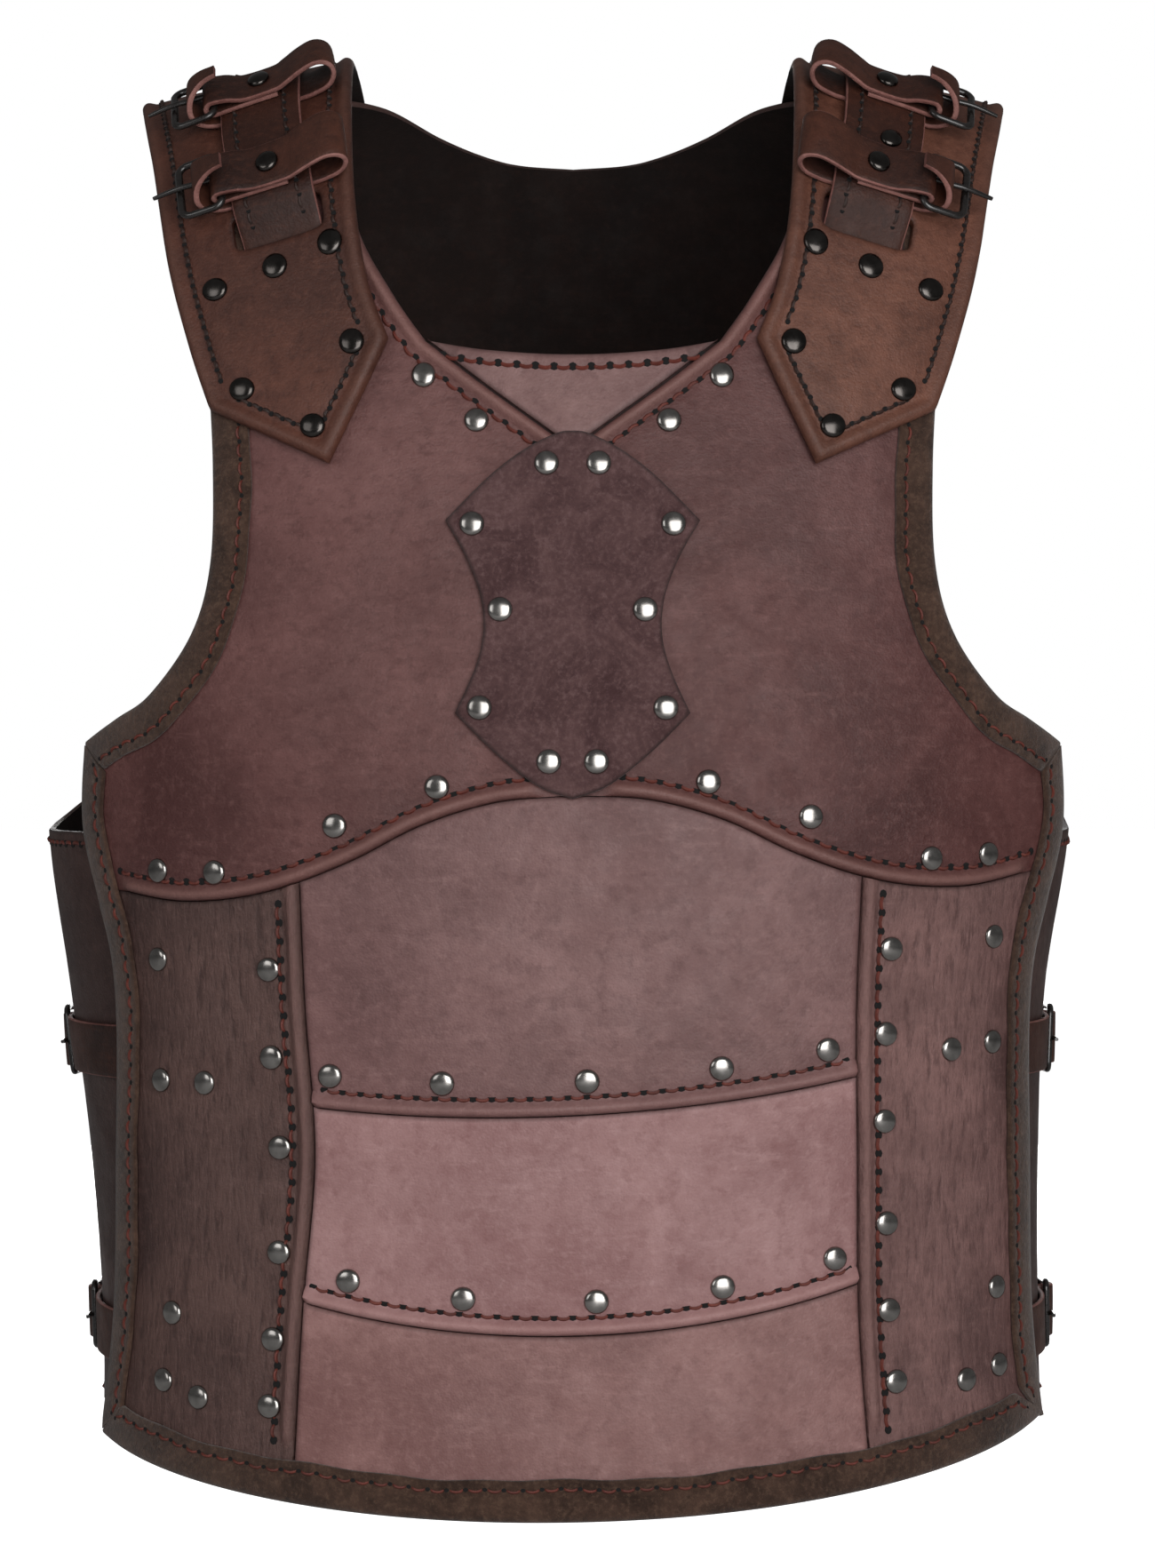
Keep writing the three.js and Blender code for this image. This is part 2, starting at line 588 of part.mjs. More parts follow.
// Three bands down the middle, each with its lower edge rolled over the next.
const BAND_END_GAP = 0.8;
const RIVETS_UP = 13;                             // from a band's lower edge to its row of rivets
function band(name, top, bottom, rivets) {
  const corner = (edge, side) => sideCorner(edge, side) - side * BAND_END_GAP;
  const upright = (side) => {
    const from = top(corner(top, side)) + SEAM;
    const to = bottom(corner(bottom, side));
    return [[corner(top, side), from],
      ...rowsBetween(from, to).map((b) => [sideStart(b, side) - side * BAND_END_GAP, b]),
      [corner(bottom, side), to]];
  };
  const topRun = edgeBetween(top, corner(top, -1), corner(top, 1), SEAM);
  const bottomRun = edgeBetween(bottom, corner(bottom, -1), corner(bottom, 1));
  const outline = outlineOf(upright(-1), bottomRun, reversed(upright(1)), reversed(topRun));
  const body = panel(front, outline, PANEL_AT, PANEL_TOP, { rolls: rivets.length ? [bottomRun] : [] });
  const heads = rivets.map((a) => rivetOn(front, [a, bottom(a) - RIVETS_UP], PANEL_TOP));
  add(name, heads.length ? joined(body, heads) : body, 'panel');
}
band('belly_panel', arch, bellyEnd, [-93, -49.5, 5.5, 56.5, 98]);
band('mid_band', bellyEnd, midEnd, [-86, -41.5, 9, 57, 101]);
band('lower_band', midEnd, hem, []);

// Side panels: from the chest's lower edge to the hem, their inner edges rolled over the bands' ends.
const SIDE_RIVETS = {
  // run and down of each, on the left and on the right
  left: [[-118, 418], [-117, 452], [-147, 463], [-113.5, 487], [-114, 528], [-116.5, 562],
    [-118, 588], [-150, 587], [-168, 582]],
  right: [[124, 410], [122, 443], [152, 450], [121.5, 477], [122.5, 517], [123.5, 551],
    [126.5, 579], [159.5, 581], [178, 577]],
};
for (const [word, side] of SIDES) {
  const top = sideCorner(arch, side);
  const foot = sideCorner(hem, side);
  const levels = [...rowsBetween(arch(top), hem(foot)), hem(foot) - BINDING_WIDTH - 4];
  const inner = [[top, arch(top) + SEAM], ...levels.map((b) => [sideStart(b, side), b]), [foot, hem(foot)]];
  const outer = sideFrom((a) => arch(a) + SEAM, side);
  outer[outer.length - 1] = sideWhole(side).pop();
  const topRun = edgeBetween(arch, ...[top, outer[0][0]].sort((p, q) => p - q), SEAM);
  const footRun = edgeBetween(hem, ...[foot, outer[outer.length - 1][0]].sort((p, q) => p - q));
  const ordered = (run, from) => (Math.abs(run[0][0] - from) < 1e-6 ? run : reversed(run));
  const outline = outlineOf(inner, ordered(footRun, foot), reversed(outer), ordered(topRun, outer[0][0]));
  const rivets = SIDE_RIVETS[word].map((place) => rivetOn(front, place, PANEL_TOP));
  const fade = (a, b) => ease((hem(a) - b - BINDING_WIDTH - 4) / 9);
  const body = panel(front, outline, PANEL_AT, PANEL_TOP, { rolls: [inner], fade });
  add(`side_panel_${word}`, joined(body, rivets), 'panel');
}

// Binding: suede strips folded over the raw outer edges, mitred where two of them meet.
const LIP = [-0.45, -0.2];                         // where the fold stands off the edge, and its low end
const MITRE_GAP = 0.4;
const directionOf = ([a1, b1], [a2, b2]) => new THREE.Vector2(a2 - a1, b2 - b1).normalize();
function binding(name, edges, which) {
  const edge = edges[which];
  const runs = [0];
  for (let i = 1; i < edge.length; i += 1) {
    runs.push(runs[i - 1] + Math.hypot(edge[i][0] - edge[i - 1][0], edge[i][1] - edge[i - 1][1]));
  }
  const whole = runs[runs.length - 1];
  // Where two strips meet, each is cut along the line that halves their corner.
  const cornerCot = (neighbour, mine) => {
    const turn = Math.acos(Math.min(1, neighbour.dot(mine)));
    return 1 / Math.tan(turn / 2);
  };
  const before = edges[which - 1];
  const after = edges[which + 1];
  const startCot = before && cornerCot(directionOf(...before.slice(-2)), directionOf(edge[0], edge[1]));
  const endCot = after && cornerCot(directionOf(...edge.slice(-2)), directionOf(after[0], after[1]));
  const sections = edge.map((point, i) => {
    let [a, b] = point;
    let width = BINDING_WIDTH;
    const last = edge.length - 1;
    const ahead = directionOf(edge[Math.max(i - 1, 0)], edge[Math.min(i + 1, last)]);
    const trim = (neighbour) => {
      const toward = directionOf(point, neighbour);
      a += toward.x * MITRE_GAP;
      b += toward.y * MITRE_GAP;
    };
    if (before && i === 0) trim(edge[1]);
    if (after && i === last) trim(edge[last - 1]);
    if (before) width = Math.min(width, Math.max(runs[i], MITRE_GAP) * startCot - MITRE_GAP);
    if (after) width = Math.min(width, Math.max(whole - runs[i], MITRE_GAP) * endCot - MITRE_GAP);
    return bindingContour(Math.max(width, 0.1)).map(([inset, height]) => lifted(
      front, a + ahead.y * inset, b - ahead.x * inset, height));
  });
  add(name, sweep(sections, capOf(bindingContour(BINDING_WIDTH))), 'suede');
}
const bindingContour = (width) => [
  [width, OVER_PANEL], [width, OVER_PANEL + BINDING], [LIP[0] - BINDING, OVER_PANEL + BINDING],
  [LIP[0] - BINDING, LIP[1]], LIP, [LIP[0], OVER_PANEL]];
const bindingRuns = [mirrored(resample(ARMHOLE, 15)), sideWhole(-1), hemRun(), reversed(sideWhole(1)),
  reversed(resample(ARMHOLE, 15))];
['binding_armhole_left', 'binding_side_left', 'binding_hem', 'binding_side_right', 'binding_armhole_right']
  .forEach((name, i) => binding(name, bindingRuns, i));

// Medallion: a cut-out suede shield riveted over the meeting of all the chest edges.
const MEDALLION = [[0, 210.5], [6, 211.3], [18, 217.5], [31.5, 228], [48.5, 245.5], [40.5, 260], [35, 275],
  [33.8, 289], [37, 303], [44.5, 320], [29.5, 335], [13.5, 347.5], [0, 352.5]];
const MEDALLION_RIVETS = [[10, 223.3], [38.3, 247], [27.5, 280.3], [35.2, 318], [9, 338.5]];
const medallionHalf = MEDALLION.slice(0, -1);
const medallionFoot = MEDALLION[MEDALLION.length - 1];
const medallion = [...medallionHalf, medallionFoot, ...reversed(mirrored(medallionHalf.slice(1)))];
const MEDALLION_AT = PANEL_TOP + PLY_GAP;
const MEDALLION_TOP = MEDALLION_AT + MEDALLION_LEATHER;
const medallionHeads = SIDES.flatMap(([, side]) => MEDALLION_RIVETS.map(
  ([a, b]) => rivetOn(front, [a * side, b], MEDALLION_TOP),
));
add('medallion', joined(panel(front, medallion, MEDALLION_AT, MEDALLION_TOP), medallionHeads), 'suede');

// ---------------------------------------------------------------- the back
// One hide: across the shoulder blades, round the ribs and forward under the front's side edges.
const FLAP_END_Y = -60;
const FLAP_TOP = 366;
const FLAP_FOOT = 604;
const BACK_NECK = [[94, SHOULDER_END], [80, 38], [57, 66], [30, 85], [0, 94]];
const BACK_ARMHOLE = [[152, SHOULDER_END], [148, 90], [143, 160], [142, 220], [146, 262], [160, 300],
  [186, 330], [220, 352], [258, 364]];
const BACK_HEM = (a) => 612 - 0.00012 * a ** 2;
const flapEdge = (side) => {
  const rows = [FLAP_TOP, ...GRID_DOWN.filter((b) => b > FLAP_TOP + 14), FLAP_FOOT];
  return rows.map((b) => [side * runAtY(backRing(b, side), FLAP_END_Y), b]);
};
const backSide = (side) => {
  const edge = flapEdge(side);
  const wholeArmhole = [...BACK_ARMHOLE, [Math.abs(edge[0][0]), FLAP_TOP]];
  const armhole = resample(wholeArmhole, 20).map(([a, b]) => [a * side, b]);
  return { edge, armhole };
};
const backLeft = backSide(-1);
const backRight = backSide(1);
const BACK_COLUMNS = bothSides([0, 33, 66, 97, 124, 146, 166, 186, 208, 232, 256, 280]);
const backHem = [backLeft.edge[backLeft.edge.length - 1],
  ...BACK_COLUMNS.filter((a) => a > backLeft.edge[0][0] && a < 260).map((a) => [a, BACK_HEM(a)]),
  backRight.edge[backRight.edge.length - 1]];
const backNeck = resample(BACK_NECK, 14);
const backOutline = outlineOf(
  straight([-94, SHOULDER_END], [-152, SHOULDER_END], 20), backLeft.armhole, backLeft.edge, backHem,
  reversed(backRight.edge), reversed(backRight.armhole),
  straight([152, SHOULDER_END], [94, SHOULDER_END], 20),
  backNeck, reversed(mirrored(backNeck)),
);
const BACK_ROWS = [48, 74, 100, 128, 158, 190, 225, 262, 300, 340, 382, 426, 474, 524, 572];
const BACK_GRID = { across: BACK_COLUMNS, down: BACK_ROWS, clear: 11 };
add('back_panel', panel(back, backOutline, 0, BACK_LEATHER, { grid: BACK_GRID }), 'back');

// ---------------------------------------------------------------- shoulder plates
const plateUnder = (down) => PLATE_BACK + (PLATE_FRONT - PLATE_BACK) * ease((down + 45) / 65);
const plateTop = (down) => plateUnder(down) + PLATE_LEATHER;
const PLATE_CORNERS = {
  innerFront: [70.5, 174.5], tip: [92.5, 223], outerFront: [138.5, 200.5],
  outerBack: [157, -112], innerBack: [84, -116],
};
const PLATE_INNER = [PLATE_CORNERS.innerBack, [87, -60], [89, 0], [87.5, 60], [84.5, 118], [79, 152],
  PLATE_CORNERS.innerFront];
const PLATE_OUTER = [PLATE_CORNERS.outerFront, [147, 175], [156, 140], [165, 88], [174, 40], [178, 0],
  [174, -45], PLATE_CORNERS.outerBack];
const SLOT = { across: 113.5, down: 127, length: 35, width: 16, turn: 0.16 };
const ON_CHEST = OVER_PANEL;                       // what the shanks of the plate's rivets reach down to
const ON_BINDING = OVER_PANEL + BINDING + SEAM;
const ON_STRAP = PLATE_FRONT;
const IN_PLATE = PLATE_FRONT + PLATE_LEATHER;
const PLATE_RIVETS = [
  [93, 138.5, IN_PLATE], [114, 145, ON_STRAP], [137, 151.5, ON_BINDING],
  [84, 176, ON_CHEST], [125.5, 193, ON_BINDING], [98.3, 208.5, ON_CHEST]];
const PLATE_BACK_RIVETS = [[98, -102], [143, -100]];
const PLATE_ROWS = [-90, -68, -47, -28, -10, 8, 26, 44, 62, 81, 101, 121, 150, 170, 190, 207];
const PLATE_GRID = { across: [103, 120, 137, 154, 166], down: PLATE_ROWS, clear: 8 };
const STRAP_COURSE = [
  // down  x of the strap's middle
  [-104, 120], [-60, 124], [0, 126], [50, 123], [85, 120], [110, 115.5], [130, 112.5], [162, 108]];
const STRAP_MIDDLE = curveThrough(STRAP_COURSE);

for (const [word, side] of SIDES) {
  const onPlate = { at: (x, down) => shoulder.at(x * side, down), outward: side };
  const turned = ([a, b]) => [SLOT.across + a * Math.cos(SLOT.turn) - b * Math.sin(SLOT.turn),
    SLOT.down + a * Math.sin(SLOT.turn) + b * Math.cos(SLOT.turn)];
  const slot = [[-1, -1], [-0.33, -1], [0.33, -1], [1, -1], [1, 1], [0.33, 1], [-0.33, 1], [-1, 1]]
    .map(([a, b]) => turned([a * SLOT.length / 2, b * SLOT.width / 2]));
  const { innerFront, tip, outerFront, outerBack, innerBack } = PLATE_CORNERS;
  const outline = outlineOf(
    resample(PLATE_INNER, 19), straight(innerFront, tip, 18), straight(tip, outerFront, 18),
    resample(PLATE_OUTER, 19), resample([outerBack, [120, -124], innerBack], 19),
  );
  const body = panel(onPlate, outline, (a, b) => plateUnder(b), (a, b) => plateTop(b), {
    grid: PLATE_GRID, holes: [slot], rolls: [[...outline, outline[0]]], roll: 1.4,
  });
  const heads = PLATE_RIVETS.map(([a, b, floor]) => rivetOn(onPlate, [a, b], plateTop(b), {
    foot: Math.max(1, plateTop(b) - floor - 0.05),
  }));
  const backHeads = PLATE_BACK_RIVETS.map((place) => rivetOn(onPlate, place, plateTop(place[1])));
  add(`shoulder_plate_${word}`, joined(body, [...heads, ...backHeads]), 'plate');
}

// ---------------------------------------------------------------- straps, belts and buckles
const WIRE = 1.4;                                  // radius of the buckles' wire
const FOLD = WIRE + 0.55 + BELT / 2;                // middle of a strap folded round the wire
const LAY = PLY_GAP + BELT / 2;                    // middle of a strap lying on a surface
const STRAP_LOW = PLY_GAP + STRAP / 2;
const STRAP_HIGH = STRAP_LOW + PLY_GAP + BELT + 0.3;     // over the belts' lower runs
const STRAP_TOP = STRAP_HIGH + STRAP / 2;

// A wire frame in the plane of the strap, centred on its bar at [along, height].
function wireFrame(place, [barAlong, height], length, width) {
  const corner = 3.5;
  const loop = [];
  const near = barAlong + corner;
  const far = barAlong + length - corner;
  const reach = width / 2 - corner;
  const centres = [[far, reach], [near, reach], [near, -reach], [far, -reach]];
  centres.forEach(([a, w], quarter) => {
    for (let i = 0; i <= 2; i += 1) {
      const turn = (quarter + i / 2) * Math.PI / 2;
      loop.push([a + Math.cos(turn) * corner, w + Math.sin(turn) * corner, Math.cos(turn), Math.sin(turn)]);
    }
  });
  const sections = loop.map(([a, w, outA, outW]) => Array.from({ length: 6 }, (_, i) => {
    const turn = i / 6 * 2 * Math.PI;
    const out = Math.cos(turn) * WIRE;
    return place(a + outA * out, w + outW * out, height + Math.sin(turn) * WIRE);
  }));
  return sweep(sections, [], true);
}

function foldAround([along, height], radius, from, to, steps = 5) {
  return Array.from({ length: steps + 1 }, (_, i) => {
    const turn = (from + (to - from) * i / steps) * Math.PI / 180;
    return [along + Math.cos(turn) * radius, height + Math.sin(turn) * radius];
  });
}

const PRONG = { thickness: 1.8, width: 2.2 };
const prong = (place, path) => strap(path, PRONG.thickness, PRONG.width, place, 1);
const prongHole = (place, [start, ...rest]) => {
  const path = [[start[0] - 1.2, start[1] - 0.1], ...rest];
  return strap(path, PRONG.thickness + 1.6, PRONG.width + 1.6, place, 1);
};

const BELTS = [
  // name, down of its middle, turn
  ['lower', 108, 0.14],
  ['upper', 62, 0.14],
];
const BAR = [17, STRAP_TOP + PLY_GAP + BELT / 2 + FOLD];
const FRAME_LENGTH = 15;
const FRAME_WIDTH = 24;
const UNDER_FOLD = BAR[1] - FOLD;
const OVER_FOLD = UNDER_FOLD + BELT + 0.35;
const BELT_PATH = [
  [22.5, 20.5], [25, 16], [25.8, 10.5], [24.6, 5.6], [20.5, 2.4], [14, LAY], [-14, LAY], [-20.5, 1.8],
  [-26.6, 3.6], [-29.6, 8], [-28.6, 12.6], [-24.2, 14.8], [-18, 13.4], [-11.5, 10.6], [-7, OVER_FOLD],
  [5, OVER_FOLD], [11.5, BAR[1] + FOLD - 1.1], ...foldAround(BAR, FOLD, 90, -90), [11, UNDER_FOLD],
  [-7, UNDER_FOLD],
];
const BELT_PRONG = [[BAR[0] + WIRE + 0.4, BAR[1] + 0.3], [26, BAR[1] + 1.7],
  [BAR[0] + FRAME_LENGTH, BAR[1] + WIRE + 1.2], [41, BAR[1] + 2.2]];

for (const [word, side] of SIDES) {
  const run = [[-104, STRAP_LOW], [-70, STRAP_LOW], [-40, STRAP_LOW], [-10, STRAP_LOW], [14, STRAP_LOW],
    [30, STRAP_LOW + 0.7], [42, STRAP_HIGH], [62, STRAP_HIGH], [85, STRAP_HIGH], [108, STRAP_HIGH],
    [118.5, STRAP_HIGH - 0.3], [125, 0.6], [133, -4.2],
    [141, -PLATE_LEATHER - PLY_GAP - STRAP / 2], [162, -PLATE_LEATHER - PLY_GAP - STRAP / 2]];
  const placeStrap = (down, across, height) => {
    const slanted = down + across * Math.tan(SLOT.turn) * ease((down - 95) / 25);
    return lifted(shoulder, side * (STRAP_MIDDLE(down)[1] + across), slanted, plateTop(down) + height);
  };
  add(`shoulder_strap_${word}`, strap(finer(run, 12), STRAP, STRAP_WIDTH, placeStrap, 3), 'strap');

  for (const [level, down0, turn] of BELTS) {
    const middle = STRAP_MIDDLE(down0)[1];
    const place = (along, across, height) => {
      const down = down0 + along * Math.sin(turn) + across * Math.cos(turn);
      const x = middle + along * Math.cos(turn) - across * Math.sin(turn);
      return lifted(shoulder, side * x, down, plateTop(down) + height);
    };
    const belt = strap(finer(BELT_PATH, 14), BELT, BELT_WIDTH, place);
    add(`belt_${level}_${word}`, cutBy(belt, [prongHole(place, BELT_PRONG)]), 'strap');
    add(`buckle_${level}_${word}`, wireFrame(place, BAR, FRAME_LENGTH, FRAME_WIDTH), 'wire');
    add(`prong_${level}_${word}`, prong(place, BELT_PRONG), 'wire');
    const onBelt = (a, b, h) => place(a - 1, b, h);
    const head = rivet(onBelt, OVER_FOLD + BELT / 2 + SEAM, { radius: 4.2, foot: 0 });
    add(`belt_rivet_${level}_${word}`, head, 'rivet');
  }
}

// Side closures: a tongue from under the front's edge is buckled to a folded chape on the back.
const CLOSURES = [['upper', 454], ['lower', 572]];
const BAR_Y = 46;                                  // where the bar lies, front to back
const CHAPE_LOW = BACK_LEATHER + LAY + 0.4;       // the flap hollows a little at the waist
const SIDE_BAR = [0, CHAPE_LOW + FOLD];
const CHAPE_HIGH = CHAPE_LOW + BELT + 0.35;
const CHAPE_PATH = [[-46, CHAPE_LOW], [-26, CHAPE_LOW], [-8, CHAPE_LOW], ...foldAround(SIDE_BAR, FOLD, -90, 90),
  [-8, SIDE_BAR[1] + FOLD - 1.8], [-16, CHAPE_HIGH], [-46, CHAPE_HIGH]];
const SIDE_PRONG = [[WIRE + 0.4, SIDE_BAR[1] + 0.3], [9, SIDE_BAR[1] + 1.7],
  [FRAME_LENGTH, SIDE_BAR[1] + WIRE + 1.2], [21, SIDE_BAR[1] + 2.6]];
const TONGUE_LAY = CHAPE_LOW;
const TONGUE_END = CHAPE_HIGH + BELT / 2 + LAY;
const OVER_BAR = SIDE_BAR[1] + FOLD + BELT + 0.4;

const insideFront = (p, row) => (Math.abs(p.x) / row[HALF]) ** ROUNDNESS
  + (Math.max(0, row[MID] - p.y) / (row[MID] - row[FRONT])) ** ROUNDNESS < 1;

for (const [level, down0] of CLOSURES) {
  for (const [word, side] of SIDES) {
    const bar = runAtY(backRing(down0, side), BAR_Y);
    const frontEdge = runAtY(backRing(down0, side), -58) - bar;
    // How far the front's inner face stands off the flap, at each place on the tongue.
    const standOff = (along, down) => {
      let reach = 0;
      const row = sectionAt(down);
      while (reach < 40 && insideFront(lifted(back, side * (bar + along), down, reach), row)) {
        reach += 0.1;
      }
      return reach;
    };
    const place = (along, across, height) => lifted(back, side * (bar + along), down0 + across, height);
    // Ahead of the front's edge the tongue rises from the flap to lie inside the front.
    const placeTongue = (along, across, height) => {
      const rise = Math.max(0, standOff(along, down0 + across) - TONGUE_LAY - BELT / 2 - 1);
      return place(along, across, height + rise * ease((along - frontEdge + 22) / 16));
    };
    const tonguePath = [[-40, TONGUE_END], [-20, TONGUE_END], [-10, TONGUE_END + 1.6], [-3.5, OVER_BAR],
      [2.5, OVER_BAR - 0.4], [6.5, OVER_BAR - 3.6], [8.6, TONGUE_LAY + 2.9], [12, TONGUE_LAY],
      [30, TONGUE_LAY], [50, TONGUE_LAY], [68, TONGUE_LAY], [frontEdge + 19, TONGUE_LAY]];
    const chape = strap(finer(CHAPE_PATH, 9), BELT, CLOSURE_WIDTH, place, 1);
    const tongue = strap(finer(tonguePath, 12), BELT, CLOSURE_WIDTH, placeTongue, 1);
    add(`chape_${level}_${word}`, cutBy(chape, [prongHole(place, SIDE_PRONG)]), 'strap');
    add(`tongue_${level}_${word}`, cutBy(tongue, [prongHole(place, SIDE_PRONG)]), 'strap');
    add(`side_buckle_${level}_${word}`, wireFrame(place, SIDE_BAR, FRAME_LENGTH, SIDE_FRAME_WIDTH), 'wire');
    add(`side_prong_${level}_${word}`, prong(place, SIDE_PRONG), 'wire');
  }
}

export default group;
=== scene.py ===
import math
from functools import partial

import bmesh
import bpy
import numpy as np
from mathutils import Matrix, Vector
from mathutils.geometry import delaunay_2d_cdt


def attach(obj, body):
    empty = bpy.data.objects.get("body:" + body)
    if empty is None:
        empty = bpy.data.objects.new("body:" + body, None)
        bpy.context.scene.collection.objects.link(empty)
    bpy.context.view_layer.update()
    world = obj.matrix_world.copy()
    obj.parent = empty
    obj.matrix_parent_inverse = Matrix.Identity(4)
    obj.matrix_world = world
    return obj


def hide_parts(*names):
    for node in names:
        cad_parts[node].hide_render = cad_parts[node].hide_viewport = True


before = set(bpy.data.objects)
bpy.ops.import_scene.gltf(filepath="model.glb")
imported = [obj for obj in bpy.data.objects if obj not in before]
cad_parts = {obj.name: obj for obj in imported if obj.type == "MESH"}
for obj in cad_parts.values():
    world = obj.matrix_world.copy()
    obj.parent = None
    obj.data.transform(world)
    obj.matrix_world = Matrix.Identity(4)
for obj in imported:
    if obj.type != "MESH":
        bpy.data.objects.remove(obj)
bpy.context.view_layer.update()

# ------------------------------------------------------------------ front backing
# The foundation of the front: one 2 mm hide from hem to shoulders that carries every panel.
# It is wet formed over a general torso, which the table of sections below describes.
# Its smooth side faces out, under the panels, and its flesh side shows through the neck.
LEATHER = 2.0
PANEL = 2.2
PLY_GAP = 0.45
PANEL_AT = LEATHER + PLY_GAP
PANEL_TOP = PANEL_AT + PANEL

SECTIONS = np.array([
    # down     z    front   back   mid  half  sideY flapLeft flapRight
    [0, 0, 12, 12, 12, 205, 12, 205, 205],
    [20, -1.7, -8, 32, 11, 205, 11, 205, 205],
    [40, -7, -27, 51, 10, 205, 10, 205, 205],
    [60, -16, -45, 69, 8, 205, 8, 205, 205],
    [80, -28.5, -60.5, 84, 6, 205, 6, 205, 205],
    [105, -48, -77, 97, 4, 205, 4, 205, 205],
    [130, -69.5, -89.5, 105.5, 2, 205, 3, 205, 205],
    [160, -98, -99.5, 111.5, 0, 205, 5, 206, 205],
    [200, -136.8, -109.5, 117.5, 0, 205, 10, 208, 205],
    [250, -186, -118.5, 121, 0, 205, 22, 213, 206],
    [300, -235.6, -125, 120, 0, 205, 29, 217, 207],
    [365, -300.5, -130, 114, 0, 204.5, 32, 218, 206],
    [430, -365.5, -130, 108, 0, 194, 32, 209, 196],
    [500, -435.4, -127, 106, 0, 192, 32, 200, 193],
    [570, -505, -127.5, 111, 0, 192.5, 32, 195, 193],
    [640, -575, -131, 117, 0, 197.5, 32, 195, 195],
])
Z, FRONT, BACK, MID, HALF, SIDE_Y, FLAP_LEFT, FLAP_RIGHT = range(1, 9)
ROUNDNESS = 2.3          # exponent of the sections' oval
FLAP_REACH = 141         # how far forward of sideY the flaps' oval would reach
SHOULDER_FALL = 0.216    # slope of the shoulders towards the arms
SHOULDER_MIDDLE = 134
FALL_ENDS, FALL_FULL = -135, -20


def smooth_rows(rows, where):
    """Every column of a table as a smooth function of its first column."""
    rows = np.asarray(rows, float)
    place = np.clip(np.asarray(where, float), rows[0, 0], rows[-1, 0])
    gap = np.diff(rows[:, 0])
    rise = np.diff(rows, axis=0) / gap[:, None]
    slope = np.vstack([rise[:1], rise])
    slope[1:-1] = (rise[:-1] * gap[1:, None] + rise[1:] * gap[:-1, None]) / (gap[1:] + gap[:-1])[:, None]
    slope[-1] = rise[-1]
    i = np.clip(np.searchsorted(rows[:, 0], place, side="right") - 1, 0, len(gap) - 1)
    t = ((place - rows[i, 0]) / gap[i])[..., None]
    reach = gap[i][..., None]
    leave = 2 * t**3 - 3 * t**2 + 1
    bend = (t**3 - 2 * t**2 + t) * slope[i] + (t**3 - t**2) * slope[i + 1]
    return leave * rows[i] + (1 - leave) * rows[i + 1] + bend * reach


def ease(t):
    """A share from 0 to 1 that starts and ends gently."""
    t = np.clip(t, 0, 1)
    return t * t * (3 - 2 * t)


def unit(vectors):
    """The same directions at length one."""
    return vectors / np.maximum(np.linalg.norm(vectors, axis=-1), 1e-9)[..., None]


def left_of(ahead):
    """Flat directions turned a quarter to the left."""
    return np.column_stack([-ahead[:, 1], ahead[:, 0]])


def run_along(line):
    """How far along a line each of its points lies."""
    return np.concatenate([[0], np.cumsum(np.linalg.norm(np.diff(line, axis=0), axis=1))])


def points_at(where, run, line):
    """The places at given distances along a line."""
    return np.column_stack([np.interp(where, run, column) for column in line.T])


def whole_turn(count):
    """Even angles once round."""
    return np.arange(count) / count * 2 * math.pi


def slope_down(x, z):
    """How far the shoulders fall below the ridge towards the arms."""
    return SHOULDER_FALL * (np.abs(x) - SHOULDER_MIDDLE) * ease((z - FALL_ENDS) / (FALL_FULL - FALL_ENDS))


LEVEL_STEP = 4.0
RUN_STEP = 1.0
LEVELS = np.arange(0, 640.1, LEVEL_STEP)
RUNS = np.arange(0, 430, RUN_STEP)


def ring_grid(half, middle, ahead, behind, last):
    """x and y at every level and at every run round the body from its middle line."""
    angle = np.linspace(0, last, 400)
    sin, cos = np.sin(angle), np.cos(angle)
    grid = []
    for row in smooth_rows(SECTIONS, LEVELS):
        reach = np.where(cos > 0, ahead(row), behind(row))
        x = row[half] * np.abs(sin) ** (2 / ROUNDNESS)
        y = row[middle] + reach * np.abs(cos) ** (2 / ROUNDNESS)
        line = np.column_stack([x, y])
        grid.append(points_at(RUNS, run_along(line), line))
    return np.array(grid)


FRONT_GRID = ring_grid(HALF, MID, lambda r: r[FRONT] - r[MID], lambda r: r[BACK] - r[MID], math.pi * 0.62)
BACK_GRIDS = {
    side: ring_grid(flap, SIDE_Y, lambda r: r[BACK] - r[SIDE_Y], lambda r: -FLAP_REACH, math.pi * 0.82)
    for side, flap in ((-1, FLAP_LEFT), (1, FLAP_RIGHT))
}


def on_grid(grid, run, down):
    """Places on a form by the run round it and the way down it, between the points of its grid."""
    u = np.clip(down / LEVEL_STEP, 0, len(LEVELS) - 1.001)
    v = np.clip(np.abs(run) / RUN_STEP, 0, len(RUNS) - 1.001)
    i, j = u.astype(int), v.astype(int)
    u, v = (u - i)[:, None], (v - j)[:, None]
    near = grid[i, j] * (1 - v) + grid[i, j + 1] * v
    far = grid[i + 1, j] * (1 - v) + grid[i + 1, j + 1] * v
    x, y = (near * (1 - u) + far * u).T
    z = smooth_rows(SECTIONS, down)[:, Z]
    return np.column_stack([x * np.sign(run), y, z - slope_down(x, z)])


def on_front(run, down):
    return on_grid(FRONT_GRID, run, down)


def on_back(run, down):
    left = on_grid(BACK_GRIDS[-1], run, down)
    right = on_grid(BACK_GRIDS[1], run, down)
    return np.where((run < 0)[:, None], left, right)


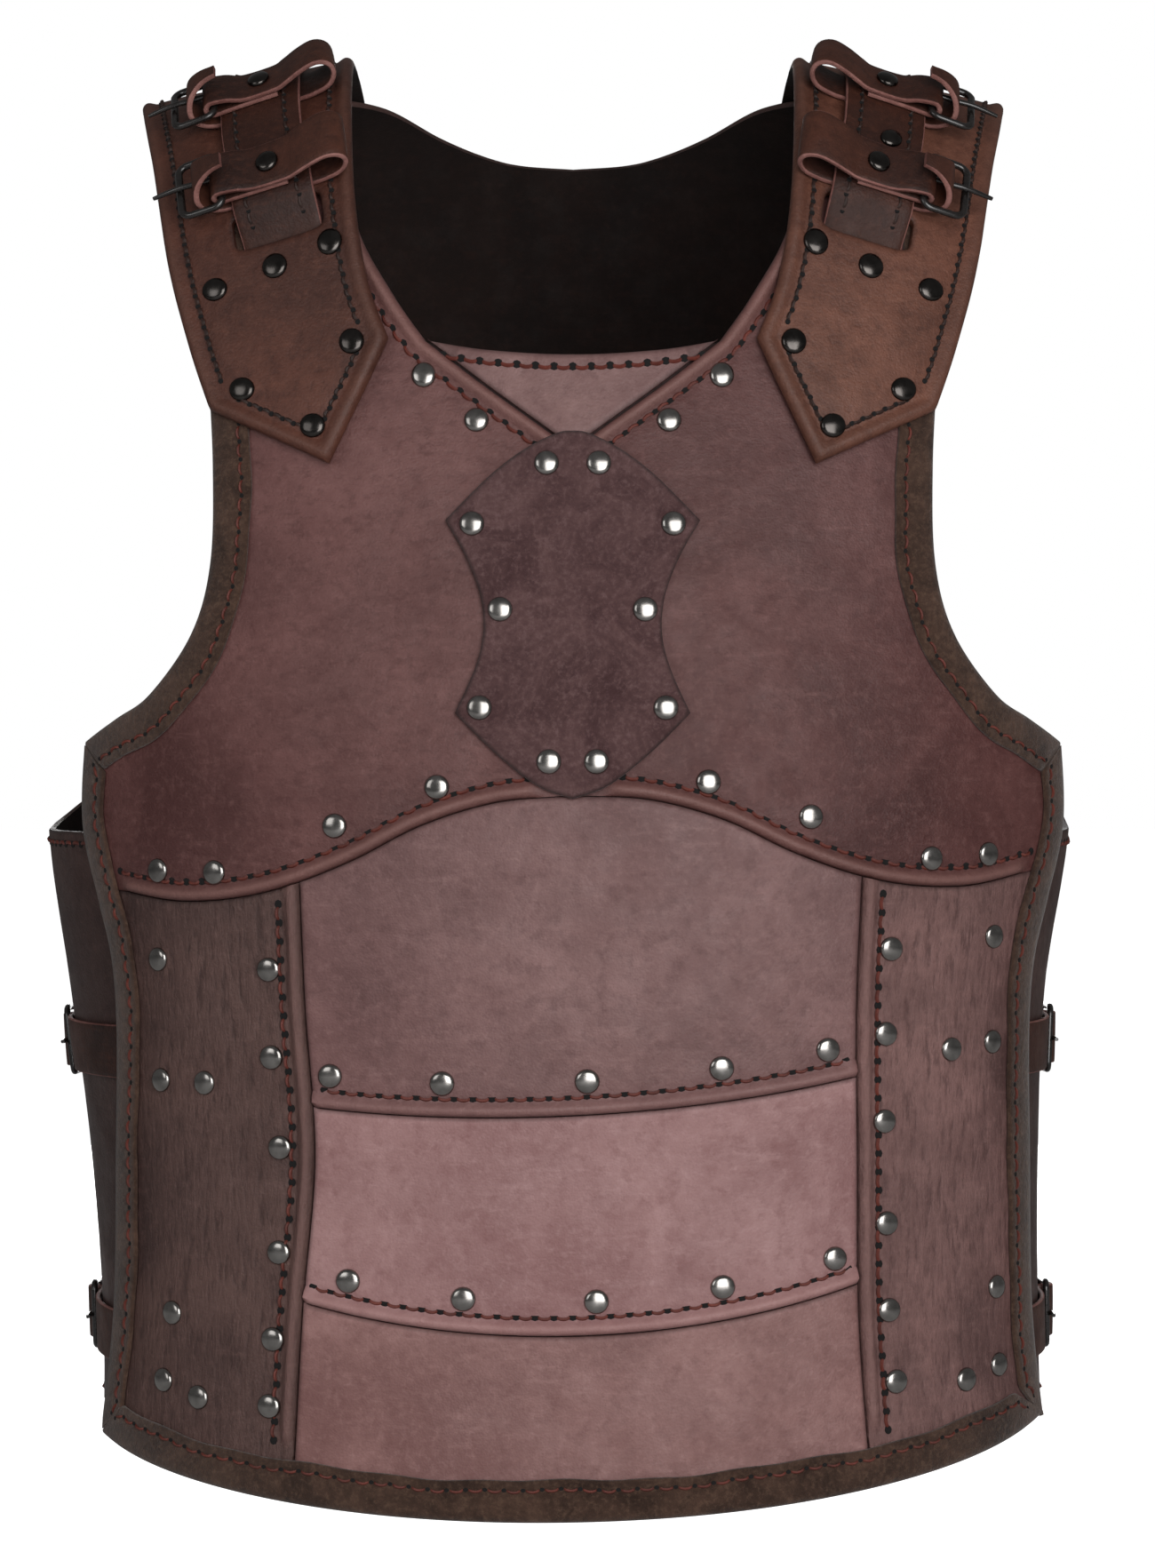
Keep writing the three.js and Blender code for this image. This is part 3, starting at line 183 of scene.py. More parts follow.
def on_shoulder(x, down):
    """Named by x, and by the way down forward of the shoulder's ridge, negative behind it."""
    row = smooth_rows(SECTIONS, np.abs(down))
    fullness = np.clip(1 - np.abs(x / row[:, HALF]) ** ROUNDNESS, 0, None) ** (1 / ROUNDNESS)
    reach = np.where(down < 0, row[:, BACK], row[:, FRONT]) - row[:, MID]
    return np.column_stack([x, row[:, MID] + reach * fullness, row[:, Z] - slope_down(x, row[:, Z])])


OUTWARD = {on_front: 1, on_back: -1, on_shoulder: 1}
PROBE = 1.0              # how far to each side a form is felt for its slope
OUTLINE_STEP = 2.2       # between the points of an outline


def lifted(surface, across, down, height):
    """Places that stand off the form by a height, in millimetres."""
    across, down, height = np.broadcast_arrays(*(np.asarray(v, float) for v in (across, down, height)))
    along_across = surface(across + PROBE, down) - surface(across - PROBE, down)
    along_down = surface(across, down + PROBE) - surface(across, down - PROBE)
    normal = unit(np.cross(along_down, along_across))
    return surface(across, down) + normal * (height * OUTWARD[surface])[:, None]


def respaced(line, step=OUTLINE_STEP):
    """A line of points set out again at even steps."""
    line = np.asarray(line, float)
    run = run_along(line)
    return points_at(np.linspace(0, run[-1], max(2, int(round(run[-1] / step)) + 1)), run, line)


def curve(points, step=OUTLINE_STEP):
    """A smooth curve through a few places, as evenly spaced points."""
    p = np.asarray(points, float)
    ends = np.vstack([p[:1], p, p[-1:]])
    t = np.linspace(0, 1, 24, endpoint=False)[:, None]
    spans = []
    for before, start, end, after in zip(ends, ends[1:], ends[2:], ends[3:]):
        leave, arrive = (end - before) / 2, (after - start) / 2
        spans.append((2 * start - 2 * end + leave + arrive) * t**3
                     + (3 * end - 3 * start - 2 * leave - arrive) * t**2 + leave * t + start)
    return respaced(np.vstack([*spans, p[-1:]]), step)


def straight(start, end):
    return respaced([start, end])


def mirrored(line):
    return np.asarray(line, float) * [-1, 1]


def outline_of(*runs):
    """Runs joined end to end into one closed outline, without the doubled ends."""
    return np.vstack([run[:-1] for run in runs])


SHOULDER_END = 24
ARMPIT = (210, 331)
ARMHOLE = [(150, SHOULDER_END), (146, 90), (143, 170), (140, 222), (141, 262), (150, 290), (170, 313),
           (189, 322.5), ARMPIT]
SIDE_EDGE = [ARMPIT, (213, 362), (204, 392), (197, 424), (198, 495), (200, 556), (208, 602)]
NECK_EDGE = [(96, SHOULDER_END), (93, 92), (84.5, 131), (70, 157), (57, 174.5)]
BIB_TOP = [(57, 174.5), (33, 178.5), (0, 180.5), (-33, 178.5), (-57, 174.5)]
LEAN = 0.019             # the lower edges rise a little to the wearer's left


def hem(run):
    return 627 - 0.00056 * run**2 - LEAN * run


along_armhole = curve(ARMHOLE)
along_neck = curve(NECK_EDGE)
along_bib = curve(BIB_TOP)


def side_whole(side):
    """The side edge, carried down to the hem."""
    line = curve(SIDE_EDGE)
    foot = line[-1, 0]
    line = np.vstack([line, [(foot, hem(side * foot))]])
    return respaced(line) * [side, 1]


def edge_line(edge, start, end, shift=0.0):
    """An edge given as a function of the run, as points, moved down by a shift."""
    run = np.linspace(start, end, max(2, int(abs(end - start) / OUTLINE_STEP)))
    return np.column_stack([run, edge(run) + shift])


left_foot, right_foot = side_whole(-1)[-1, 0], side_whole(1)[-1, 0]
backing = outline_of(
    straight((-96, SHOULDER_END), (-150, SHOULDER_END)), mirrored(along_armhole), side_whole(-1),
    edge_line(hem, left_foot, right_foot), side_whole(1)[::-1], along_armhole[::-1],
    straight((150, SHOULDER_END), (96, SHOULDER_END)), along_neck, along_bib, mirrored(along_neck)[::-1])


def distance_to(points, line, closed=False):
    """How far each point lies from a line of points."""
    start = line if closed else line[:-1]
    span = (np.roll(line, -1, axis=0) if closed else line[1:]) - start
    length = np.maximum((span**2).sum(1), 1e-9)
    found = []
    for block in np.array_split(points, max(1, len(points) // 1500)):
        away = block[:, None] - start[None]
        part = np.clip((away * span).sum(2) / length, 0, 1)
        found.append(np.sqrt(((away - part[..., None] * span) ** 2).sum(2).min(1)))
    return np.concatenate(found)


def inside(points, loop):
    """Which points lie inside a closed outline."""
    x, y = points[:, 0][:, None], points[:, 1][:, None]
    start, end = loop, np.roll(loop, -1, axis=0)
    crosses = (start[:, 1] > y) != (end[:, 1] > y)
    rise = np.where(end[:, 1] == start[:, 1], 1e-9, end[:, 1] - start[:, 1])
    reach = start[:, 0] + (end[:, 0] - start[:, 0]) * (y - start[:, 1]) / rise
    return (crosses & (x < reach)).sum(1) % 2 == 1


def linear(colour):
    """An sRGB hex colour as the shader's linear numbers."""
    values = [int(colour[i:i + 2], 16) / 255 for i in (1, 3, 5)]
    return [v / 12.92 if v <= 0.04045 else ((v + 0.055) / 1.055) ** 2.4 for v in values] + [1]


def feed(owner, socket, value):
    """Gives an input a value, an sRGB hex colour or the socket that feeds it."""
    if isinstance(value, bpy.types.NodeSocket):
        owner.node_tree.links.new(value, socket)
    else:
        socket.default_value = linear(value) if isinstance(value, str) else value


def add_node(owner, kind, inputs=None, **settings):
    """Adds a node to a material or to the world, with its settings and its inputs."""
    made = owner.node_tree.nodes.new(kind)
    for key, value in settings.items():
        setattr(made, key, value)
    for key, value in (inputs or {}).items():
        feed(owner, made.inputs[key], value)
    return made


def fresh(name):
    material = bpy.data.materials.new(name)
    material.use_nodes = True
    return material


def shaded(material, inputs):
    """Gives a material's shader its inputs."""
    for key, value in inputs.items():
        feed(material, material.node_tree.nodes["Principled BSDF"].inputs[key], value)
    return material


def own_place(material):
    """Where each point lies on its own object."""
    return add_node(material, "ShaderNodeTexCoord").outputs["Object"]


def field(material, name):
    """One of the values that mesh_piece stores on the points."""
    return add_node(material, "ShaderNodeAttribute", attribute_name=name).outputs["Fac"]


def scaled(material, value, factor):
    return add_node(material, "ShaderNodeMath", {0: value, 1: factor}, operation="MULTIPLY").outputs[0]


def stretched(material, place, scale, turn=(0, 0, 0)):
    return add_node(material, "ShaderNodeMapping",
                    {"Vector": place, "Rotation": turn, "Scale": scale}).outputs["Vector"]


def noise(material, place, grain_mm, detail, roughness=0.5, distortion=0.0):
    """Cloudy noise from 0 to 1, whose largest forms are about as wide as its grain."""
    return add_node(material, "ShaderNodeTexNoise",
                    {"Vector": place, "Scale": 1000 / grain_mm, "Detail": detail, "Roughness": roughness,
                     "Distortion": distortion}).outputs["Fac"]


def spread(material, value, low, high, to_low=0.0, to_high=1.0):
    """The stretch of a value from low to high, spread over a new range."""
    return add_node(material, "ShaderNodeMapRange",
                    {"Value": value, "From Min": low, "From Max": high, "To Min": to_low,
                     "To Max": to_high}).outputs["Result"]


def bumped(material, height, strength, depth_mm, over=None):
    """The normal of a fine relief, alone or laid over the normal of a coarser one."""
    inputs = {"Height": height, "Strength": strength, "Distance": depth_mm / 1000}
    if over is not None:
        inputs["Normal"] = over
    return add_node(material, "ShaderNodeBump", inputs).outputs["Normal"]


def mixed(material, share, first, second):
    """The second colour laid over the first by a share."""
    mix = add_node(material, "ShaderNodeMix", data_type="RGBA")
    for key, value in (("Factor", share), ("A", first), ("B", second)):
        feed(material, next(s for s in mix.inputs if s.name == key and s.enabled), value)
    return next(s for s in mix.outputs if s.enabled)


PEBBLE = 1.0             # the grain's pores, in millimetres


def oiled_leather(name, deep, middle, pale, bead, wrinkle=(1, 1, 1), wrinkle_depth=0.35,
                  wrinkle_shade=0.2, roughness=0.52):
    """Oiled pull-up leather, vegetable tanned and hand dyed: cloudy where the oil has moved, pebbled
    by its pores, scuffed, paler where it is bent or rubbed and darker along its edges. Painted shade
    darkens its wrinkles' troughs and soft patches, and a painted highlight lies on the crests of its rolls."""
    material = fresh(name)
    place = own_place(material)
    cloud = noise(material, place, 75, 5, 0.62, 0.6)
    patch = noise(material, place, 16, 6, 0.7)
    fleck = noise(material, place, 3.2, 3, 0.65)
    crease = noise(material, stretched(material, place, wrinkle), 6, 7, 0.7)
    scuff = noise(material, stretched(material, place, (1, 1, 5), (0, 0.7, 0)), 20, 8, 0.72)
    colour = mixed(material, spread(material, cloud, 0.36, 0.64), deep, middle)
    for share, stain in (
            (scaled(material, field(material, "tone"), 0.55), pale),            # hand dyeing and painted shade
            (spread(material, patch, 0.38, 0.7, 0, 0.36), deep),                # oil
            (spread(material, fleck, 0.5, 0.78, 0, 0.28), pale),                # rubbed pores
            (spread(material, scuff, 0.55, 0.74, 0, 0.3), pale),
            # painted shade in the troughs of the wrinkles
            (spread(material, crease, 0.5, 0.36, 0, wrinkle_shade * 2), deep),
            (scaled(material, field(material, "bead"), 0.5), bead),             # stretched paler over a cord, with a painted highlight on its crest
            (spread(material, field(material, "edge"), 0, 1.6, 0.55, 0), "#1d1110")):  # burnished
        colour = mixed(material, share, colour, stain)
    pores = add_node(material, "ShaderNodeTexVoronoi",
                     {"Vector": place, "Scale": 1000 / PEBBLE, "Randomness": 1.0}, feature="F1")
    wrinkled = bumped(material, crease, wrinkle_depth, 1.2)
    return shaded(material, {
        "Base Color": colour, "IOR": 1.47, "Specular IOR Level": 0.42,
        "Roughness": spread(material, patch, 0.3, 0.7, roughness - 0.07, roughness + 0.12),
        "Normal": bumped(material, pores.outputs["Distance"], 0.3, 0.4, wrinkled)})


def mesh_piece(name, points_mm, faces, materials, slot, replaced=(), kinds=None, fields=None, sharp=50):
    """A smooth-shaded piece from points in millimetres, riding on the whole breastplate. kinds say
    which material each face has."""
    mesh = bpy.data.meshes.new(name)
    mesh.from_pydata((np.asarray(points_mm) / 1000).tolist(), [], [tuple(map(int, f)) for f in faces])
    mesh.validate()
    for key, values in (fields or {}).items():
        mesh.attributes.new(key, "FLOAT", "POINT").data.foreach_set("value", np.asarray(values, np.float32))
    for material in materials:
        mesh.materials.append(material)
    if kinds is not None:
        mesh.polygons.foreach_set("material_index", np.asarray(kinds, np.int32))
    shape = bmesh.new()
    shape.from_mesh(mesh)
    bmesh.ops.recalc_face_normals(shape, faces=shape.faces)
    shape.to_mesh(mesh)
    shape.free()
    mesh.shade_smooth()
    mesh.set_sharp_from_angle(angle=math.radians(sharp))
    piece = bpy.data.objects.new(name, mesh)
    bpy.context.scene.collection.objects.link(piece)
    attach(piece, "root")
    if replaced:
        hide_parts(*replaced)
    return piece


ROLL = 2.0               # how far a rolled edge stands above its panel
ROLL_CREST = 2.9         # from the edge to the top of the roll
ROLL_FOOT = 6.2          # from the edge to the foot of the roll, where its stitched groove starts
ROLL_LIP = 0.5           # how far above its underside a roll's outer edge begins
GROOVE_MIDDLE, GROOVE_DEPTH, GROOVE_BREADTH = ROLL_FOOT + 0.6, 0.4, 0.9
CUT_ROUNDING = 0.55      # how far a plain cut edge is worn down
ROLL_RINGS = [0.3, 0.7, 1.3, 2.0, 2.9, 3.8, 4.7, 5.5, 6.2, 7.0, 8.2]
PLAIN_RINGS = [0.7, 3.0]
NOT_NEAR = 9.0           # edge distance of what no cut edge darkens
NO_ROLL = 99.0


def as_function(value):
    """A height or a share given as a number or as a function of place, as a function of place."""
    return value if callable(value) else lambda a, b: np.full(len(a), float(value))


def cut_hide(name, surface, outline, low, high, material, slot, replaced, rolls=(), holes=(), step=5.0,
             roll=ROLL, fade=1, relief=0, tone=0.4, flesh=None):
    """A piece of hide cut to a flat outline and laid on the form from height low to height high.
    rolls are the stretches of its outline that are turned over a cord, so that they stand up."""
    low, high, fade, relief, tone = (as_function(v) for v in (low, high, fade, relief, tone))
    loops = [outline, *holes]

    def from_roll(places):
        return np.min([distance_to(places, run) for run in rolls] or [np.full(len(places), NO_ROLL)], axis=0)

    def on_hide(places, gap=0):
        """Which places lie on the hide, and further than a gap from its edges."""
        kept = inside(places, outline)
        for hole in holes:
            kept &= ~inside(places, hole)
        for loop in loops if gap else ():
            kept &= distance_to(places, loop, True) > gap
        return kept

    def top(a, b, rim=False):
        """Height of the upper side, with its rolls, grooves and creases. rim marks its cut edge."""
        off = from_roll(np.column_stack([a, b]))
        plain, floor, share = high(a, b), low(a, b) + ROLL_LIP, np.clip(fade(a, b), 0, 1)
        standing = roll * fade(a, b)
        flank = np.sqrt(np.clip(1 - (1 - off / ROLL_CREST) ** 2, 0, 1))
        outer = floor + (plain + standing - floor) * flank
        fall = (off - ROLL_CREST) / (ROLL_FOOT - ROLL_CREST)
        inner = plain + standing * (0.5 + 0.5 * np.cos(math.pi * fall))
        groove = GROOVE_DEPTH * np.exp(-((off - GROOVE_MIDDLE) / GROOVE_BREADTH) ** 2)
        groove = groove * np.minimum(standing, 1)
        rolled = np.where(off < ROLL_CREST, outer, np.where(off < ROLL_FOOT, inner, plain)) - groove
        height = np.where(off < ROLL_FOOT + 3, rolled * share + plain * (1 - share), plain)
        return height + relief(a, b) - np.where(rim & (off > 0.2), CUT_ROUNDING, 0)

    points = list(loops)
    for loop in loops:
        normal = left_of(unit(np.roll(loop, -1, axis=0) - np.roll(loop, 1, axis=0)))
        rolled = from_roll(loop) < 0.01
        for insets, which in ((ROLL_RINGS, rolled), (PLAIN_RINGS, ~rolled)):
            for inset in (turn * inset for inset in insets for turn in (1, -1)):
                ring = (loop + normal * inset)[which]
                points.append(ring[on_hide(ring, abs(inset) * 0.93)])
    corner, far = outline.min(0), outline.max(0)
    rows = np.arange(corner[1] + step / 2, far[1], step * 0.87)
    lattice = np.array([(x + (i % 2) * step / 2, y) for i, y in enumerate(rows)
                        for x in np.arange(corner[0], far[0], step)])
    lattice = lattice[on_hide(lattice, PLAIN_RINGS[-1] + 0.45 * step)]
    points.append(lattice[from_roll(lattice) > ROLL_RINGS[-1] + 0.45 * step])
    edges, start = [], 0
    for loop in loops:
        edges += [(start + i, start + (i + 1) % len(loop)) for i in range(len(loop))]
        start += len(loop)
    found, _, triangles, *_ = delaunay_2d_cdt([Vector(p) for p in np.vstack(points)], edges, [], 0, 1e-4)
    flat, triangles = np.array([tuple(p) for p in found]), np.array(triangles)
    used, triangles = np.unique(triangles[on_hide(flat[triangles].mean(1))], return_inverse=True)
    flat, triangles = flat[used], triangles.reshape(-1, 3)
    a, b = flat.T
    size = len(flat)
    edge_off = np.min([distance_to(flat, loop, True) for loop in loops], axis=0)
    vertices = np.vstack([lifted(surface, a, b, top(a, b, edge_off < 0.05)),
                          lifted(surface, a, b, low(a, b))])
    directed = np.vstack([triangles[:, [0, 1]], triangles[:, [1, 2]], triangles[:, [2, 0]]])
    _, first, counts = np.unique(np.sort(directed, axis=1), axis=0, return_index=True, return_counts=True)
    rim = directed[first[counts == 1]]
    faces = [*triangles, *(triangles + size), *np.column_stack([rim, rim[:, ::-1] + size])]
    kinds = [0] * len(triangles) + [1] * len(triangles) + [0] * len(rim)
    off = from_roll(flat)
    fields = {
        "edge": np.concatenate([np.where(off < ROLL_FOOT, NOT_NEAR, edge_off), np.full(size, NOT_NEAR)]),
        # the crests of the rolls: stretched paler, with a painted highlight
        "bead": np.concatenate([np.exp(-((off - ROLL_CREST) / 2.2) ** 2) * fade(a, b), np.zeros(size)]),
        "tone": np.concatenate([tone(a, b), np.zeros(size)]),
    }
    piece = mesh_piece(name, vertices, faces, [material, flesh or material], slot, replaced, kinds, fields)
    x, y = outline.T
    area = abs((x * np.roll(y, -1) - np.roll(x, -1) * y).sum()) / 2
    piece["flat"] = [*(far - corner) / 1000, area / 1e6]
    return piece, top


def declare(piece):
    """Reads a hide's flat width, length and area, and does nothing with them."""
    width, length, area = piece["flat"]


backing_leather = oiled_leather("backing leather flesh side", "#1f1312", "#33211f", "#4a3230", "#4a3230",
                                roughness=0.75)
backing_hide, _ = cut_hide("backing_hide", on_front, backing, 0, LEATHER, backing_leather, "panel_leather",
                           ["front_backing"], step=8)
declare(backing_hide)


def panel(name, outline, material, **more):
    """A panel of the front, laid on the backing and sewn to it."""
    hide, height = cut_hide(name + "_hide", on_front, outline, PANEL_AT, PANEL_TOP, material,
                            "panel_leather", [name], **more)
    declare(hide)
    return height


# ------------------------------------------------------------------ bib
# A small panel that fills the V between the chest's two upper edges, sewn on 4 mm below its
# top edge with waxed rust red thread through awled holes.
V_TOP, V_FOOT = (57, 174.5), (6, 212.5)
along_v = straight(V_TOP, V_FOOT)
bib_v = along_v + [-0.9, -0.5]
bib_top = along_bib[::-1][1:-1]
bib_outline = np.vstack([bib_top, bib_v, mirrored(bib_v)[::-1]])
bib_leather = oiled_leather("bib leather", "#5e3f3e", "#80605d", "#9a7a76", "#8f6b68")
bib_height = panel("bib", bib_outline, bib_leather, step=4)

STITCH_PITCH = 7.2
BIB_SEAM = 4.4           # here and below, a seam is named by its distance from its piece's edge


def waxed_thread(name, dark, light):
    """Waxed linen thread, coloured where light reaches it and darkened by handling."""
    material = fresh(name)
    place = own_place(material)
    twist = add_node(material, "ShaderNodeTexWave", {"Vector": place, "Scale": 1 / 0.0012, "Distortion": 2.0})
    return shaded(material, {
        "Base Color": mixed(material, noise(material, place, 9, 3), dark, light), "Roughness": 0.6,
        "Normal": bumped(material, twist.outputs["Fac"], 0.4, 0.2)})


def hole_shadow_disc():
    """A black disc of painted shade where a stitch's hole goes into the leather."""
    return shaded(fresh("awled hole"), {"Base Color": "#060303", "Roughness": 0.9})


rust_thread = waxed_thread("rust red thread", "#31110c", "#7a3325")
black_thread = waxed_thread("blackened thread", "#150a07", "#3a2017")
hole_shadow = hole_shadow_disc()
THREAD_SIDES, HOLE_SIDES = 5, 8
HOLE_TOP, HOLE_FLOOR = 0.16, -0.4
# share of the way along a stitch, sideways share and height of the thread between its two holes
COURSE = np.array([(0.12, 0.1, -0.7), (0.2, 0.25, 0.1), (0.34, 0.55, 0.38), (0.5, 0.7, 0.45),
                   (0.66, 0.6, 0.38), (0.8, 0.25, 0.1), (0.88, 0.1, -0.7)])


def tube_faces(count, around, start=0, closed=False):
    """The sides of a tube made of rings of points, then its two ends unless it is closed."""
    faces = []
    for i in range(count if closed else count - 1):
        here, ahead = start + i * around, start + (i + 1) % count * around
        faces += [(here + j, ahead + j, ahead + (j + 1) % around, here + (j + 1) % around)
                  for j in range(around)]
    ends = () if closed else (start, start + (count - 1) * around)
    return faces + [tuple(range(end, end + around)) for end in ends]


def placer(surface):
    """What turns across, down and height into places, from a form or from a function that does so."""
    return partial(lifted, surface) if surface in OUTWARD else surface


def stitching(name, surface, line, height, slot="panel_leather", pitch=STITCH_PITCH, thick=0.7, hole=1.5,
              shift=1.1, thread=rust_thread):
    """A row of stitches along a line: a black disc of painted shade at each hole and the thread lying
    between.
    """
    place = placer(surface)
    line = respaced(line, 0.5)
    run = run_along(line)
    count = max(1, int(run[-1] / pitch))
    starts = (run[-1] - count * pitch) / 2 + pitch * np.arange(count + 1)

    def ahead_at(where):
        return unit(points_at(where + 0.8, run, line) - points_at(where - 0.8, run, line))

    points, faces, start = [], [], 0
    turn = whole_turn(THREAD_SIDES)
    for begin in starts[:-1]:
        where = begin + COURSE[:, 0] * pitch
        side = left_of(ahead_at(where))
        centre = points_at(where, run, line) + side * (COURSE[:, 1] * shift)[:, None]
        flat = centre[:, None] + side[:, None] * (np.cos(turn) * thick)[:, None]
        high = (height(*centre.T) + COURSE[:, 2])[:, None] + np.sin(turn) * thick
        points.append(place(*flat.reshape(-1, 2).T, high.ravel()))
        faces += tube_faces(len(COURSE), THREAD_SIDES, start)
        start += len(COURSE) * THREAD_SIDES
    kinds = [0] * len(faces)
    # each hole is a flat black disc standing on the leather: painted shade for its depth
    turn = whole_turn(HOLE_SIDES)[:, None]
    for where in starts[:, None]:
        ahead, centre = ahead_at(where), points_at(where, run, line)
        rim = centre + left_of(ahead) * np.cos(turn) * hole + ahead * np.sin(turn) * hole * 1.15
        for rise in (HOLE_TOP, HOLE_FLOOR):
            points.append(place(*rim.T, np.full(HOLE_SIDES, height(*centre.T)[0] + rise)))
        faces += tube_faces(2, HOLE_SIDES, start)
        start += 2 * HOLE_SIDES
    kinds += [1] * (len(faces) - len(kinds))
    return mesh_piece(name, np.vstack(points), faces, [thread, hole_shadow], slot, kinds=kinds, sharp=60)


stitching("bib_stitches", on_front, along_bib[::-1][2:-2] + [0, BIB_SEAM], bib_height)

# ------------------------------------------------------------------ belly, middle and lower bands
# Three bands across the stomach. The upper two have their lower edge turned over a cord, sewn
# down behind it and riveted through, so that each laps over the next one.
BAND_END_GAP = 0.8
SIDE_ROWS = [
    # down  left  right
    [380, -106, 112.5], [430, -104, 110.5], [490, -100, 111], [550, -105, 111.5], [625, -109, 117]]
ARCH_ROWS = [[0, 351], [30, 353.3], [58, 361.5], [85, 374.5], [118, 385.5], [155, 389], [190, 384.5],
             [215, 381]]


def arch(run):
    """The chest's arched lower edge."""
    return smooth_rows(ARCH_ROWS, np.abs(run))[..., 1] - LEAN * run


def belly_end(run):
    return 474 - 0.0007 * (run + 35) ** 2


def middle_end(run):
    return 558.3 - 0.00125 * (run + 10) ** 2


def side_start(down, side):
    """The run of a side panel's inner edge at a height."""
    return smooth_rows(SIDE_ROWS, down)[..., 1 if side < 0 else 2]


def side_corner(edge, side):
    """The run at which a band's edge meets a side panel."""
    run = side * 107.0
    for _ in range(8):
        run = float(side_start(edge(run), side))
    return run


def upright(top, bottom, side, gap=0.0):
    """The side panel's inner edge, between two edges of a band."""
    down = np.linspace(top(side_corner(top, side)), bottom(side_corner(bottom, side)), 50)
    return np.column_stack([side_start(down, side) - side * gap, down])


RIVET_RADIUS = 4.8
# share of the radius and height of a domed head's profile, from its rim to its crown
DOME = np.array([(0.9, -0.5), (1.0, -0.1), (1.0, 0.3), (0.97, 0.75), (0.88, 1.25), (0.7, 1.62), (0.42, 1.88),
                 (0.14, 1.98)])
DOME_SIDES = 20


def gunmetal(name, dark, light):
    """Nickelled steel toned to gunmetal: a polished dome with soft brushing and dulled patches."""
    material = fresh(name)
    place = own_place(material)
    wear = noise(material, place, 4, 4)
    return shaded(material, {
        "Base Color": mixed(material, wear, dark, light), "Metallic": 1.0,
        "Roughness": spread(material, wear, 0, 1, 0.13, 0.28),
        "Normal": bumped(material, noise(material, place, 0.6, 2), 0.08, 0.1)})


rivet_steel = gunmetal("gunmetal rivet", "#64615e", "#b2aeaa")
blackened_steel = gunmetal("blackened rivet", "#262322", "#5a5653")


def rivets(name, surface, places, height, radius=RIVET_RADIUS, metal=rivet_steel):
    """Domed rivet heads standing on a surface at a height given as a function of place."""
    turn = whole_turn(DOME_SIDES)
    share, rise = DOME.T * [[radius], [1]]
    points, faces = [], []
    for a, b in places:
        floor = height(np.array([float(a)]), np.array([float(b)]))[0]
        faces += tube_faces(len(DOME), DOME_SIDES, len(points) * len(DOME) * DOME_SIDES)
        points.append(placer(surface)((a + np.outer(share, np.cos(turn))).ravel(),
                                      (b + np.outer(share, np.sin(turn))).ravel(),
                                      floor + np.repeat(rise, DOME_SIDES)))
    return mesh_piece(name, np.vstack(points), faces, [metal], "rivet_steel", sharp=35)


def soft_patches(rows):
    """Dyeing and painted shade of a hide from soft patches, each at a run and down, with its reach and its
    strength.
    """
    def tone(a, b):
        return np.clip(0.35 + sum(strength * np.exp(-((a - run) / wide) ** 2 - ((b - down) / tall) ** 2)
                                  for run, down, wide, tall, strength in rows), 0, 1.2)
    return tone


def creases(rows):
    """Soft troughs and ridges: place, direction, length, breadth and height of each."""
    def relief(a, b):
        total = np.zeros(len(a))
        for run, down, turn, long, broad, high in rows:
            turn = math.radians(turn)
            along = (a - run) * math.cos(turn) + (b - down) * math.sin(turn)
            across = (b - down) * math.cos(turn) - (a - run) * math.sin(turn)
            across = across + 0.004 * along**2 * math.copysign(1, run)
            total = total + high * np.exp(-(across / broad) ** 2 - (along / long) ** 4)
        return total
    return relief


# name, top edge, bottom edge, colours, runs of its rivets, patches of dyeing and painted shade, creases
BANDS = [
    ("belly_panel", arch, belly_end, ("#563837", "#795755", "#9c7976", "#8a6460"),
     (-93, -49.5, 5.5, 56.5, 98),
     [(-5, 420, 60, 45, 0.35), (-90, 450, 40, 40, -0.3), (85, 395, 45, 30, 0.1)],
     [(-20, 400, 8, 60, 9, -0.35), (40, 440, -12, 50, 8, 0.35), (-70, 430, 70, 30, 7, -0.3)]),
    ("mid_band", belly_end, middle_end, ("#79504f", "#a17a78", "#bb9896", "#a57c78"),
     (-86, -41.5, 9, 57, 101),
     [(-60, 505, 45, 20, 0.3), (50, 510, 50, 25, 0.2), (5, 530, 40, 15, -0.2)],
     [(0, 505, 3, 70, 8, 0.3), (-60, 525, -10, 40, 6, -0.3)]),
    ("lower_band", middle_end, hem, ("#6a4542", "#936c68", "#ad8783", "#96706b"), (),
     [(0, 585, 70, 20, 0.15), (-80, 600, 30, 30, -0.3), (80, 600, 40, 30, -0.1)],
     [(-30, 585, 5, 60, 8, -0.35), (60, 590, -8, 40, 7, 0.3)]),
]
RIVETS_UP = 13           # from a band's lower edge to its rivets
ROLL_SEAM = 7.4
TUCK = 0.3               # how far a panel runs in under the roll of the one above
for name, top_edge, bottom_edge, colours, runs, patches, folds in BANDS:
    left = upright(top_edge, bottom_edge, -1, BAND_END_GAP)
    right = upright(top_edge, bottom_edge, 1, BAND_END_GAP)
    upper_run = edge_line(top_edge, left[0, 0], right[0, 0], TUCK)
    lower_run = edge_line(bottom_edge, left[-1, 0], right[-1, 0])
    band_outline = outline_of(respaced(left), lower_run, respaced(right)[::-1], upper_run[::-1])
    leather = oiled_leather(name.replace("_", " ") + " leather", *colours)
    band_height = panel(name, band_outline, leather, rolls=[lower_run] if runs else [],
                        tone=soft_patches(patches), relief=creases(folds))
    if runs:
        sewn = edge_line(bottom_edge, left[-1, 0] + 2, right[-1, 0] - 2, -ROLL_SEAM)
        stitching(name + "_stitches", on_front, sewn, band_height)
        rivets(name + "_rivets", on_front, [(run, bottom_edge(run) - RIVETS_UP) for run in runs], band_height)

